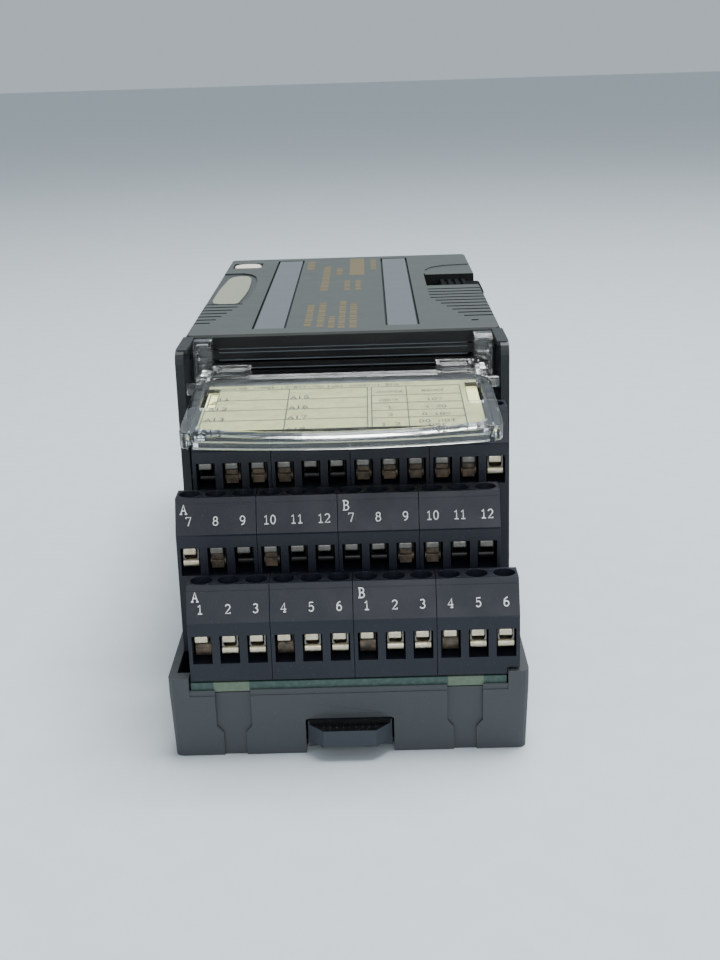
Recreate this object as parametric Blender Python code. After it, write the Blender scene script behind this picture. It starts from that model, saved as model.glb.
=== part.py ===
"""A plug-in analogue input module on its box-clamp terminal carrier, lying on its rail side.

Sizes are in millimetres and become metres in the helpers. Shapes are drawn in bench coordinates:
x = 0 is the middle of the width, y = 0 is the carrier's front face under the terminals, and z = 0 is
the panel side. One empty shifts everything, so that the world origin is the middle of the rail seat.
"""

import math

import bmesh
import bpy
from mathutils import Matrix, Vector

MM = 0.001
GAP = 0.3
OVERLAP = 0.4
PAST = 2.0

# Overall sizes
WIDTH = 66.8
LENGTH = 163.5
HEIGHT = 69.7
MODULE_LENGTH = 110.0

# Carrier base
BASE_TOP = 15.9
BASE_WALL = 1.5
FLOOR = 1.8
FRONT_WALL = 1.7
FRONT_WALL_TOP = 12.3
FRONT_RIM_TOP = 13.4
FRONT_RIM_SETBACK = 0.2
FRONT_RIM_BACK = 0.55
BOARD_SEAT = 12.7
POST_WIDTH = 3.9
POST_DEPTH = 3.0
DRAFT = 0.5
DRAFT_TOP = 13.0
CORNER_RADIUS = 1.5
NOTCH_CENTRE = 21.5
NOTCH_WIDTH = 6.6
NOTCH_FOOT_WIDTH = 4.2
NOTCH_NECK_TOP = 6.1
NOTCH_NECK_BOTTOM = 4.7
NOTCH_DEPTH = 0.9
BOSS_RADIUS = 3.2
BOSS_X = 24.0
BOSS_Y = 62.0

# Top-hat rail that the carrier hangs on
RAIL_WIDTH = 35.0
RAIL_HEIGHT = 7.5
RAIL_FLANGE = 1.0
RAIL_CENTRE = 95.0
RAIL_BITE = 1.5
RAIL_RELIEF = 0.3

# Rail latch
LATCH_SLOT_WIDTH = 16.5
LATCH_SLOT_RISE = 0.7
LATCH_CLEAR = 0.4
LATCH_LIP = 1.0
LATCH_LIP_REACH = 1.9
LATCH_MOUTH = 4.0
LATCH_BAR_START = 0.8
LATCH_NOSE = 0.8
LATCH_TAB_REACH = 3.0
LATCH_TAB_ROOT = 1.6
LATCH_TAB_TIP_WIDTH = 9.7
LATCH_TAB_DROP = 0.8
LATCH_TAB_BOTTOM = 2.8
LATCH_TRAVEL = 4.0
HOOD_HEIGHT = 1.3
HOOD_TOP_WIDTH = 11.4
HOOD_DEPTH = 0.8
SPRING_LENGTH = 14.0
SPRING_RADIUS = 1.7
SPRING_WIRE = 0.5
SPRING_TURNS = 7
SPRING_START = 30.0
SPRING_PEG = 2.0
SPRING_CLEAR = 0.35
SPRING_PEG_DROP = 1.0

# Terminal board
BOARD_THICKNESS = 1.8
BOARD_FRONT = 0.65
BOARD_FAR_INSET = 13.5
SCREW_SHANK = 1.4
SCREW_HEAD = 2.7
SCREW_HEAD_HEIGHT = 1.3
SCREW_LENGTH = 6.0
DRIVER_SLOT_WIDTH = 0.8
DRIVER_SLOT_DEPTH = 0.6

# Terminal blocks: three stepped rows of four three-pole blocks
ROWS = 3
BLOCKS_PER_ROW = 4
POLES = 3
PITCH = 5.08
ROW_STEP_Y = 10.9
TOP_ROW_DROP = 9.9
ROW_FRONT = 0.74
ROW_SHIFT = PITCH / 4
SEAM = 0.3
PLATE_FOOT = 26.8
PLATE_RISE = 6.4
PLATE_LEAN = 2.41
TOP_DEPTH = 5.05
BACK_DROP = 5.0
BACK_SLOPE = 1.5
BODY_DEPTH = 10.5
POLE_WALL = 1.48
WELL_WALL = 0.98
WINDOW_HEIGHT = 5.5
WINDOW_DROP = 5.5
WINDOW_DEPTH = 8.4
TUNNEL_HEIGHT = 2.4
TUNNEL_DEPTH = 3.3
END_NOTCH_CLEAR = 0.5

# Box clamps in the blocks
CAGE_DEPTH = 4.6
CAGE_SETBACK = 0.9
CAGE_FOOT = 1.1
CAGE_LIP = 1.6
CAGE_ROOF = 0.9
CAGE_SIDE = 0.4
CLAMP_SCREW_RADIUS = 1.25
CLAMP_HEAD_CLEAR = 0.35
CLAMP_HEAD_HEIGHT = 1.8
CLAMP_HEAD_SINK = 3.0
BUS_HEIGHT = 1.2

# Deck under the module and its two ears
DECK_RISE = 3.5
DECK_THICKNESS = 1.8
DECK_WALL = 1.8
DECK_GAP = 0.4
BAY_WALL_DROP = 11.7
BAY_WALL_INSET = 4.1
EAR_FRONT = 38.0
EAR_CORNER = 2.6
EAR_WALL = 1.7
EAR_DROP = 0.2
EAR_CAP = 0.9
EAR_CAP_REACH = 2.3
EAR_CAP_FRONT = 1.5

# Connectors
SOCKET_LENGTH = 40.0
SOCKET_WIDTH = 6.0
SOCKET_RUN = 51.5
SOCKET_TOP = 26.2
SOCKET_SLOT_LENGTH = 36.0
SOCKET_SLOT_WIDTH = 2.2
SOCKET_SLOT_DEPTH = 5.6
SOCKET_CLEAR = 1.0
TONGUE_CLEAR = 0.45
SIDE_PORT_LENGTH = 24.0
SIDE_PORT_DEPTH = 9.0
SIDE_PORT_INSET = 28.5
SIDE_PORT_WALL = 2.0
SIDE_PORT_SLOT = 1.6

# Keying dials
DIAL_RADIUS = 4.8
DIAL_HEIGHT = 3.0
DIAL_X = 18.0
DIAL_RUN = 22.5
DIAL_SLOT = 1.2
DIAL_SLOT_REACH = 3.36
DIAL_SLOT_DEPTH = 1.5

# Rail grounding clip
CLIP_WIDTH = 4.0
CLIP_THICKNESS = 0.6
CLIP_X = 22.0
CLIP_LIFT = 0.1
CLIP_FOOT = 6.0

# Module
MODULE_WALL = 1.6
MODULE_CORNER = 1.0
COVER_THICKNESS = 3.0
COVER_CORNER = 1.2
COVER_BEVEL = 0.9
COVER_RIM = 1.2
COVER_RIM_DEPTH = 1.6
LOUVRES = 5
LOUVRE_PITCH = 1.8
LOUVRE_HEIGHT = 0.8
LOUVRE_INSET = 6.1
LOUVRE_DROP = 5.3

# Marks on the module's cover
STRIP_LEFT = -15.9
STRIP_RIGHT = 12.7
STRIP_WIDTH = 6.9
STRIP_GROOVE = 0.6
STRIP_START = 5.0
STRIP_END = 4.5
GROOVE_DEPTH = 0.45
FAN_GROOVES = 7
FAN_PITCH = 3.75
FAN_WIDTH = 1.3
FAN_RUN = 13.5
FAN_REACH = 13.0
FAN_FIRST_ANGLE = 35.0
FAN_LAST_ANGLE = 90.0
BADGE_RUN = 38.2
BADGE_LENGTH = 41.8
BADGE_WIDTH = 7.6
BADGE_END_WIDTH = 5.8
BADGE_INSET = 5.2
BADGE_MARGIN = 1.2
BADGE_SINK = 0.9
BADGE_THICKNESS = 0.9
LENS_INSET = 5.4
LENS_FAR_INSET = 11.8
LENS_THICKNESS = 1.7
LENS_CORNER = 1.2
LENS_LENGTH = 7.6
LENS_WIDTH = 7.4

# Release lever
LEVER_RUN = 65.5
LEVER_LENGTH = 19.0
LEVER_POCKET = 12.6
LEVER_SINK = 2.1
LEVER_THICKNESS = 3.4
LEVER_STICK_OUT = 1.2
LEVER_TRAVEL = 3.0
LEVER_CLEAR = 0.6
LEVER_ARM_WIDTH = 6.0
LEVER_ARM_THICKNESS = 1.4
LEVER_ARM_PAST_DECK = 0.7
LEVER_CORNER = 1.2
LEVER_RIDGES = 4
LEVER_RIDGE_INSET = 3.0
LEVER_RIDGE_PITCH = 1.8
LEVER_RIDGE_WIDTH = 0.9
LEVER_RIDGE_HEIGHT = 0.8
LEVER_RIDGE_SETBACK = 1.0

# Module electronics
MODULE_BOARD_Z = 30.0
MODULE_BOARD_INSET = 5.5
STANDOFF_RADIUS = 2.2
STANDOFF_X = 22.0
STANDOFF_INSET = 9.0
CONVERTER = (25.0, 20.0, 10.0)
CONVERTER_AT = (-12.0, 28.5)
CHIP = (14.0, 14.0, 2.4)
CHIP_AT = (12.0, 36.5)
CAPACITOR_AT = (14.0, 86.5)
CAPACITOR_RADIUS = 5.0
CAPACITOR_HEIGHT = 14.0

# Hinged card holder
HOLDER_PIVOT_Y = 50.0
HOLDER_PIVOT_DROP = 2.6
HOLDER_BARREL = 2.6
HOLDER_INSET = 4.1
HOLDER_LENGTH = 37.4
HOLDER_BOW = 3.4
HOLDER_TILT = 4.2
HOLDER_FAR_Y = 42.3
HOLDER_FAR_DROP = 3.45
HOLDER_THICKNESS = 2.1
HOLDER_SKIN = 0.9
HOLDER_LIP = 2.4
HOLDER_LIP_DEPTH = 3.1
HOLDER_BORDER = 2.4
HOLDER_FAR_BORDER = 5.4
ARM_WIDTH = 3.7
ARM_CLEAR = 0.9
ARM_WEB_DROP = 5.9
ARM_STEP = 0.2
ARM_BACK = 1.0
ARM_FRONT = 2.0
TAB_CENTRE = 22.9
TAB_WIDTH = 7.6
TAB_HEIGHT = 2.8
TAB_FRONT = 1.5
HINGE_PIN_RADIUS = 1.4
HINGE_CLEAR = 0.35
HINGE_PIN_BITE = 0.8
NUB_RADIUS = 1.2
NUB_Y = 37.0
NUB_REACH = 1.9
NUB_ROOT = 1.0
CARD_THICKNESS = 0.35

# Levels and edges that follow from the sizes above
HALF = WIDTH / 2
INNER = HALF - BASE_WALL
MODULE_START = LENGTH - MODULE_LENGTH
MODULE_TOP = HEIGHT
COVER_BOTTOM = MODULE_TOP - COVER_THICKNESS
BOARD_HALF = HALF - POST_WIDTH - GAP
BOARD_END = LENGTH - BOARD_FAR_INSET
BOARD_BOTTOM = BOARD_SEAT + GAP
BOARD_TOP = BOARD_BOTTOM + BOARD_THICKNESS
BLOCK_BOTTOM = BOARD_TOP + GAP
BLOCK_WIDTH = POLES * PITCH - SEAM
ROW_STEP_Z = (HEIGHT - TOP_ROW_DROP - PLATE_RISE - PLATE_FOOT) / (ROWS - 1)
WINDOW_WIDTH = PITCH - POLE_WALL
SCREW_HOLE_RADIUS = (PITCH - WELL_WALL) / 2
CLAMP_HEAD_RADIUS = SCREW_HOLE_RADIUS - CLAMP_HEAD_CLEAR
FLOOR_TOP = RAIL_HEIGHT + FLOOR
CHANNEL_NEAR = RAIL_CENTRE - RAIL_WIDTH / 2 - GAP
CHANNEL_FAR = RAIL_CENTRE + RAIL_WIDTH / 2 + GAP
HOOK_TOP = RAIL_HEIGHT - RAIL_FLANGE - GAP
LATCH_SLOT_TOP = HOOK_TOP + LATCH_SLOT_RISE
LATCH_TAB_TOP = LATCH_SLOT_TOP - LATCH_TAB_DROP
SPRING_WINDOW_WIDTH = 2 * (SPRING_RADIUS + SPRING_WIRE / 2 + SPRING_CLEAR)
DECK_TOP = BASE_TOP + GAP + DECK_RISE
BAY_WALL_BACK = MODULE_START - DECK_GAP
BAY_WALL_FRONT = BAY_WALL_BACK - DECK_WALL
BAY_WALL_TOP = HEIGHT - BAY_WALL_DROP
BAY_WALL_HALF = HALF - BAY_WALL_INSET
EAR_TOP = HEIGHT - EAR_DROP
HOUSING_TOP = COVER_BOTTOM - GAP
MODULE_HALF = HALF - GAP
MODULE_FLOOR = DECK_TOP + GAP
LOUVRE_HALF = MODULE_HALF - LOUVRE_INSET
LOUVRE_TOP = HEIGHT - LOUVRE_DROP
SOCKET_Y = MODULE_START + SOCKET_RUN
SIDE_PORT_Y = LENGTH - SIDE_PORT_INSET
DIAL_Y = MODULE_START + DIAL_RUN
FAN_START = MODULE_START + FAN_RUN
BADGE_START = MODULE_START + BADGE_RUN
BADGE_X = BADGE_INSET - MODULE_HALF
LENS_X = LENS_INSET - MODULE_HALF
LENS_Y = LENGTH - LENS_FAR_INSET
LEVER_Y = MODULE_START + LEVER_RUN
LEVER_X = MODULE_HALF - LEVER_POCKET
LEVER_TOP = HEIGHT - LEVER_SINK
LEVER_FOOT = DECK_TOP - DECK_THICKNESS - LEVER_ARM_PAST_DECK
HOLDER_PIVOT_Z = EAR_TOP - HOLDER_PIVOT_DROP
HOLDER_FAR_Z = HOLDER_PIVOT_Z - HOLDER_FAR_DROP
HOLDER_HALF = HALF - HOLDER_INSET
HINGE_HOLE_RADIUS = HINGE_PIN_RADIUS + HINGE_CLEAR
ARM_OUTER = HALF - EAR_WALL - ARM_CLEAR
ARM_WEB_BOTTOM = HOLDER_PIVOT_Z - ARM_WEB_DROP


def srgb(red, green, blue):
    """A linear colour from 8-bit display values."""

    def linear(value):
        share = value / 255
        return share / 12.92 if share <= 0.04045 else ((share + 0.055) / 1.055) ** 2.4

    return (linear(red), linear(green), linear(blue), 1.0)


def material(name, colour, roughness, metallic=0.0, alpha=1.0):
    made = bpy.data.materials.new(name)
    made.use_nodes = True
    shader = made.node_tree.nodes["Principled BSDF"]
    shader.inputs["Base Color"].default_value = colour
    shader.inputs["Roughness"].default_value = roughness
    shader.inputs["Metallic"].default_value = metallic
    shader.inputs["Alpha"].default_value = alpha
    return made


def clear_scene():
    for found in list(bpy.data.objects):
        bpy.data.objects.remove(found, do_unlink=True)


def collection(name):
    made = bpy.data.collections.new(name)
    bpy.context.scene.collection.children.link(made)
    return made


clear_scene()
PARTS = collection("plc_module")
CUTTERS = collection("cutters")

ORIGIN = bpy.data.objects.new("rail_seat_origin", None)
ORIGIN.location = Vector((0, -RAIL_CENTRE, -RAIL_HEIGHT)) * MM
PARTS.objects.link(ORIGIN)

WARM_GREY = material("base_grey", srgb(75, 78, 80), 0.55)
DARK_GREY = material("frame_grey", srgb(58, 62, 64), 0.55)
SLATE = material("terminal_slate", srgb(46, 50, 57), 0.5)
BOARD_GREEN = material("board_green", srgb(70, 120, 100), 0.45)
NICKEL = material("nickel", srgb(200, 190, 168), 0.35, metallic=1.0)
STEEL = material("steel", srgb(170, 172, 174), 0.3, metallic=1.0)
BLACK = material("black_plastic", srgb(28, 31, 34), 0.5)
COVER_GREY = material("cover_grey", srgb(122, 127, 128), 0.55)
CREAM = material("cream", srgb(205, 202, 180), 0.5)
LENS = material("lens", srgb(235, 232, 215), 0.25)
CLEAR = material("clear_plastic", srgb(225, 230, 228), 0.1, alpha=0.35)
CARD = material("card", srgb(205, 205, 175), 0.7)
DIAL_WHITE = material("dial_white", srgb(215, 215, 208), 0.5)


# Meshes


def shape(build):
    """A mesh of what build makes in a bmesh, in millimetres of bench coordinates."""
    work = bmesh.new()
    build(work)
    bmesh.ops.recalc_face_normals(work, faces=work.faces)
    bmesh.ops.scale(work, vec=(MM, MM, MM), verts=work.verts)
    mesh = bpy.data.meshes.new("shape")
    work.to_mesh(mesh)
    work.free()
    return mesh


def add_box(work, x, y, z):
    """A box between the two values given for each axis."""
    size = (x[1] - x[0], y[1] - y[0], z[1] - z[0])
    middle = ((x[0] + x[1]) / 2, (y[0] + y[1]) / 2, (z[0] + z[1]) / 2)
    made = bmesh.ops.create_cube(work, size=1.0)["verts"]
    bmesh.ops.scale(work, vec=size, verts=made)
    bmesh.ops.translate(work, vec=middle, verts=made)
    return made


def add_cylinder(work, radius, start, end, sides=16):
    """A cylinder whose axis runs from start to end."""
    start = Vector(start)
    run = Vector(end) - start
    turn = Vector((0, 0, 1)).rotation_difference(run).to_matrix().to_4x4()
    place = Matrix.Translation(start + run / 2) @ turn
    bmesh.ops.create_cone(
        work,
        cap_ends=True,
        segments=sides,
        radius1=radius,
        radius2=radius,
        depth=run.length,
        matrix=place,
    )


def boxes(*ranges):
    def build(work):
        for x, y, z in ranges:
            add_box(work, x, y, z)

    return shape(build)


def both_sides(x, y, z):
    """A box and its mirror image across x = 0."""
    return boxes((x, y, z), ((-x[1], -x[0]), y, z))


def cylinders(*rods, sides=16):
    def build(work):
        for radius, start, end in rods:
            add_cylinder(work, radius, start, end, sides)

    return shape(build)


def rounded_box(x, y, z, corner=0.0, top=0.0, segments=3):
    """A box with round vertical edges, chamfered round its top face if top is given."""

    def build(work):
        add_box(work, x, y, z)
        upright = [e for e in work.edges if e.verts[0].co.xy == e.verts[1].co.xy]
        if corner:
            bmesh.ops.bevel(
                work, geom=upright, offset=corner, segments=segments, profile=0.5, affect="EDGES"
            )
        rim = [e for e in work.edges if all(abs(v.co.z - z[1]) < 1e-4 for v in e.verts)]
        if top:
            bmesh.ops.bevel(work, geom=rim, offset=top, segments=2, profile=0.5, affect="EDGES")

    return shape(build)


ALONG_X = Matrix(((0, 0, 1, 0), (1, 0, 0, 0), (0, 1, 0, 0), (0, 0, 0, 1)))
ALONG_Y = Matrix(((1, 0, 0, 0), (0, 0, -1, 0), (0, 1, 0, 0), (0, 0, 0, 1)))
ALONG_Z = Matrix.Identity(4)


def extruded(outline, low, high, along=ALONG_Z):
    """A flat outline made solid from low to high. An outline along X is (y, z), along Y (x, z)."""
    curve = bpy.data.curves.new("outline", "CURVE")
    curve.dimensions = "2D"
    curve.fill_mode = "BOTH"
    curve.extrude = (high - low) / 2 * MM
    spline = curve.splines.new("POLY")
    spline.points.add(len(outline) - 1)
    for point, (across, up) in zip(spline.points, outline):
        point.co = (across * MM, up * MM, 0, 1)
    spline.use_cyclic_u = True
    guide = bpy.data.objects.new("outline", curve)
    bpy.context.scene.collection.objects.link(guide)
    graph = bpy.context.evaluated_depsgraph_get()
    mesh = bpy.data.meshes.new_from_object(guide.evaluated_get(graph))
    bpy.data.objects.remove(guide)
    middle = (low + high) / 2
    shift = Matrix.Translation(Vector((0, 0, (-middle if along is ALONG_Y else middle) * MM)))
    mesh.transform(along @ shift)
    work = bmesh.new()
    work.from_mesh(mesh)
    bmesh.ops.remove_doubles(work, verts=work.verts, dist=1e-6)
    bmesh.ops.recalc_face_normals(work, faces=work.faces)
    work.to_mesh(mesh)
    work.free()
    return mesh


# Objects


def place(name, mesh, finish=None, at=(0, 0, 0), home=PARTS):
    """An object in bench coordinates, with its own origin at the point given."""
    mesh.name = name
    mesh.transform(Matrix.Translation(-Vector(at) * MM))
    made = bpy.data.objects.new(name, mesh)
    made.location = Vector(at) * MM
    made.parent = ORIGIN
    if finish:
        mesh.materials.clear()
        mesh.materials.append(finish)
    home.objects.link(made)
    return made


def combine(target, operation, mesh, name):
    helper = place(f"{target.name}_{name}", mesh, home=CUTTERS)
    helper.hide_render = True
    helper.display_type = "WIRE"
    step = target.modifiers.new(name, "BOOLEAN")
    step.operation = operation
    step.solver = "EXACT"
    step.object = helper


def cut(target, mesh, name):
    combine(target, "DIFFERENCE", mesh, name)


def join(target, mesh, name):
    combine(target, "UNION", mesh, name)


def finished_mesh(target):
    """The object's mesh with its modifiers applied; the object and its cutters are removed."""
    graph = bpy.context.evaluated_depsgraph_get()
    mesh = bpy.data.meshes.new_from_object(target.evaluated_get(graph))
    for step in target.modifiers:
        bpy.data.objects.remove(step.object)
    bpy.data.objects.remove(target)
    return mesh


def shade_round(target):
    target.data.shade_smooth()
    target.data.set_sharp_from_angle(angle=math.radians(40))


# Carrier


def carrier_base():
    """Tray with drafted walls, corner posts, rail channel, latch slot and front notches."""

    def outer(work):
        add_box(work, (-HALF, HALF), (0, LENGTH), (0, BASE_TOP))
        upright = [e for e in work.edges if e.verts[0].co.xy == e.verts[1].co.xy]
        bmesh.ops.bevel(
            work, geom=upright, offset=CORNER_RADIUS, segments=3, profile=0.5, affect="EDGES"
        )
        bmesh.ops.bisect_plane(
            work,
            geom=work.verts[:] + work.edges[:] + work.faces[:],
            plane_co=(0, 0, DRAFT_TOP),
            plane_no=(0, 0, 1),
        )
        for vert in work.verts:
            if vert.co.z < DRAFT_TOP / 2:
                vert.co.x *= (HALF - DRAFT) / HALF
                middle = LENGTH / 2
                vert.co.y = middle + (vert.co.y - middle) * (middle - DRAFT) / middle

    base = place("carrier_base", shape(outer), WARM_GREY)
    inner = (-INNER, INNER)
    pocket_x = (LATCH_SLOT_WIDTH / 2 + FLOOR, INNER)
    near_y = (FRONT_WALL + NOTCH_DEPTH, CHANNEL_NEAR - FLOOR)
    far_y = (CHANNEL_FAR + FLOOR, LENGTH - BASE_WALL)
    open_z = (FLOOR_TOP, BASE_TOP + PAST)
    cut(base, boxes((inner, (POST_DEPTH, LENGTH - BASE_WALL), open_z)), "inside")
    cut(base, both_sides(pocket_x, near_y, (FLOOR, FLOOR_TOP + PAST / 2)), "near_pockets")
    cut(base, boxes((inner, far_y, (FLOOR, FLOOR_TOP + PAST / 2))), "far_pocket")
    posts = (-HALF + POST_WIDTH, HALF - POST_WIDTH)
    cut(base, boxes((posts, (FRONT_WALL, POST_DEPTH + PAST), open_z)), "inside_front")
    above = BASE_TOP + PAST
    cut(base, boxes((posts, (-PAST, FRONT_RIM_SETBACK), (FRONT_WALL_TOP, above))), "front_step")
    cut(base, boxes((posts, (-PAST, FRONT_WALL + PAST), (FRONT_RIM_TOP, above))), "front_rim")
    cut(base, boxes((posts, (FRONT_RIM_BACK, FRONT_WALL + PAST), (BOARD_SEAT, above))), "board_seat")
    for side, name in ((-1, "left_notch"), (1, "right_notch")):
        cut(base, extruded(notch_outline(side), -PAST, NOTCH_DEPTH, ALONG_Y), name)
    channel = (CHANNEL_NEAR, CHANNEL_FAR - GAP - RAIL_BITE)
    past_sides = (-HALF - PAST, HALF + PAST)
    cut(base, boxes((past_sides, channel, (-PAST, RAIL_HEIGHT))), "rail_channel")
    relief_top = RAIL_HEIGHT + RAIL_RELIEF
    cut(base, boxes((past_sides, (channel[1] - PAST, CHANNEL_FAR), (HOOK_TOP, relief_top))), "rail_hook")
    latch_relief = (CHANNEL_NEAR, CHANNEL_NEAR + RAIL_BITE + PAST)
    cut(base, boxes((past_sides, latch_relief, (RAIL_HEIGHT - PAST, relief_top))), "latch_relief")
    latch_slot(base)
    board_bosses(base)
    for side in (-1, 1):
        wall = sorted((side * (INNER - PAST), side * (HALF + PAST)))
        port_y = (SIDE_PORT_Y - SIDE_PORT_LENGTH / 2 - GAP, SIDE_PORT_Y + SIDE_PORT_LENGTH / 2 + GAP)
        port_z = (FLOOR_TOP - OVERLAP, BOARD_BOTTOM)
        cut(base, boxes((wall, port_y, port_z)), "left_port" if side < 0 else "right_port")
    clip_slot = (
        (CLIP_X - CLIP_WIDTH / 2 - GAP, CLIP_X + CLIP_WIDTH / 2 + GAP),
        (clip_y() - CLIP_THICKNESS / 2 - GAP, clip_y() + CLIP_THICKNESS / 2 + GAP),
        (RAIL_HEIGHT - PAST, FLOOR_TOP + PAST),
    )
    cut(base, boxes(clip_slot), "clip_slot")


def notch_outline(side):
    """Wide at the top, tapering to a narrower foot."""
    wide, narrow = NOTCH_WIDTH / 2, NOTCH_FOOT_WIDTH / 2
    half = [(wide, BASE_TOP + PAST), (wide, NOTCH_NECK_TOP)]
    half += [(narrow, NOTCH_NECK_BOTTOM), (narrow, -PAST)]
    points = half + [(-x, z) for x, z in reversed(half)]
    return [(side * NOTCH_CENTRE + x, z) for x, z in points]


def latch_slot(base):
    """The slot from the front face to the rail channel, with lips that hold the latch bar in."""
    half = LATCH_SLOT_WIDTH / 2
    run = (-PAST, CHANNEL_NEAR + PAST)
    cut(base, boxes(((-half, half), run, (LATCH_LIP, LATCH_SLOT_TOP))), "latch_slot")
    throat = half - LATCH_LIP_REACH
    cut(base, boxes(((-throat, throat), run, (-PAST, LATCH_LIP + OVERLAP))), "latch_throat")
    cut(base, boxes(((-half, half), (-PAST, LATCH_MOUTH), (-PAST, LATCH_LIP + OVERLAP))), "latch_mouth")
    top = HOOD_TOP_WIDTH / 2
    hood = [(-half, LATCH_SLOT_TOP - OVERLAP), (half, LATCH_SLOT_TOP - OVERLAP)]
    hood += [(half, LATCH_SLOT_TOP), (top, LATCH_SLOT_TOP + HOOD_HEIGHT)]
    hood += [(-top, LATCH_SLOT_TOP + HOOD_HEIGHT), (-half, LATCH_SLOT_TOP)]
    cut(base, extruded(hood, -PAST, HOOD_DEPTH, ALONG_Y), "latch_hood")
    peg_x = (-SPRING_RADIUS, SPRING_RADIUS)
    peg_y = (SPRING_START - GAP - SPRING_PEG, SPRING_START - GAP)
    peg_z = (LATCH_LIP + SPRING_PEG_DROP, LATCH_SLOT_TOP + OVERLAP)
    join(base, boxes((peg_x, peg_y, peg_z)), "spring_peg")


def board_bosses(base):
    top = BOARD_BOTTOM - GAP
    posts = [(BOSS_RADIUS, (s * BOSS_X, BOSS_Y, FLOOR / 2), (s * BOSS_X, BOSS_Y, top)) for s in (-1, 1)]
    join(base, cylinders(*posts), "board_bosses")
    bottom = top - SCREW_LENGTH
    bores = [
        (SCREW_SHANK + GAP, (s * BOSS_X, BOSS_Y, bottom), (s * BOSS_X, BOSS_Y, top + PAST))
        for s in (-1, 1)
    ]
    cut(base, cylinders(*bores, sides=12), "boss_bores")


def clip_y():
    """The clip presses on the middle of the rail's near flange."""
    return RAIL_CENTRE - RAIL_WIDTH / 2 + RAIL_BITE + CLIP_THICKNESS


def terminal_board():
    board = place(
        "terminal_board",
        boxes(((-BOARD_HALF, BOARD_HALF), (BOARD_FRONT, BOARD_END), (BOARD_BOTTOM, BOARD_TOP))),
        BOARD_GREEN,
    )
    low, high = BOARD_BOTTOM - PAST, BOARD_TOP + PAST
    holes = [(SCREW_SHANK + GAP, (s * BOSS_X, BOSS_Y, low), (s * BOSS_X, BOSS_Y, high)) for s in (-1, 1)]
    cut(board, cylinders(*holes, sides=12), "screw_holes")


def board_screws():
    """Pan-head screws that hold the board to the base's bosses."""
    seat = BOARD_TOP + GAP
    for side, name in ((-1, "board_screw_left"), (1, "board_screw_right")):
        x = side * BOSS_X
        foot = BOARD_BOTTOM - SCREW_LENGTH
        head = (SCREW_HEAD, (x, BOSS_Y, seat), (x, BOSS_Y, seat + SCREW_HEAD_HEIGHT))
        screw = place(name, cylinders(head, sides=16), STEEL)
        shank = (SCREW_SHANK, (x, BOSS_Y, foot), (x, BOSS_Y, seat + OVERLAP))
        join(screw, cylinders(shank, sides=12), "shank")
        slot_x = (x - SCREW_HEAD - PAST, x + SCREW_HEAD + PAST)
        slot_y = (BOSS_Y - DRIVER_SLOT_WIDTH / 2, BOSS_Y + DRIVER_SLOT_WIDTH / 2)
        slot_z = (seat + SCREW_HEAD_HEIGHT - DRIVER_SLOT_DEPTH, seat + SCREW_HEAD_HEIGHT + PAST)
        cut(screw, boxes((slot_x, slot_y, slot_z)), "driver_slot")
        shade_round(screw)


# Terminal blocks and their clamps


def row_front(row):
    return ROW_FRONT + row * ROW_STEP_Y


def row_plate_foot(row):
    return PLATE_FOOT + row * ROW_STEP_Z


def window_z(row):
    middle = row_plate_foot(row) - WINDOW_DROP
    return (middle - WINDOW_HEIGHT / 2, middle + WINDOW_HEIGHT / 2)


def screw_y(row):
    return row_front(row) + PLATE_LEAN + TOP_DEPTH / 2


def pole_xs(middle):
    return [middle + (pole - (POLES - 1) / 2) * PITCH for pole in range(POLES)]


def block_mesh(row, notched_sides):
    """A three-pole block centred on x = 0: leaning number plate, wire windows and screw wells.

    A block that ends its row beyond the board's edge has a notch there, over the base's post.
    """
    front, foot = row_front(row), row_plate_foot(row)
    top = foot + PLATE_RISE
    edge = front + PLATE_LEAN
    back = front + BODY_DEPTH
    profile = [(front, BLOCK_BOTTOM), (front, foot), (edge, top), (edge + TOP_DEPTH, top)]
    profile += [(edge + TOP_DEPTH, top - BACK_DROP), (back, top - BACK_DROP - BACK_SLOPE)]
    profile.append((back, BLOCK_BOTTOM))
    half = BLOCK_WIDTH / 2
    block = place(f"row_{row + 1}_block", extruded(profile, -half, half, ALONG_X))
    low, high = window_z(row)
    across = WINDOW_WIDTH / 2
    windows = [
        ((x - across, x + across), (front - PAST, front + WINDOW_DEPTH), (low, high)) for x in pole_xs(0)
    ]
    cut(block, boxes(*windows), "windows")
    y = screw_y(row)
    wells = [(SCREW_HOLE_RADIUS, (x, y, high - OVERLAP), (x, y, top + PAST)) for x in pole_xs(0)]
    cut(block, cylinders(*wells, sides=14), "screw_wells")
    middle = (low + high) / 2
    tunnel_x = (-PITCH, PITCH)
    tunnel_y = (front + WINDOW_DEPTH - OVERLAP - TUNNEL_DEPTH, front + WINDOW_DEPTH - OVERLAP)
    tunnel_z = (middle - TUNNEL_HEIGHT / 2, middle + TUNNEL_HEIGHT / 2)
    cut(block, boxes((tunnel_x, tunnel_y, tunnel_z)), "bus_tunnel")
    for side in notched_sides:
        notch_x = sorted((side * (half - post_overhang(row, side)), side * (half + PAST)))
        notch_z = (BLOCK_BOTTOM - PAST, BASE_TOP + END_NOTCH_CLEAR)
        cut(block, boxes((notch_x, (front - PAST, back + PAST), notch_z)), f"end_notch_{side}")
    return finished_mesh(block)


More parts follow.
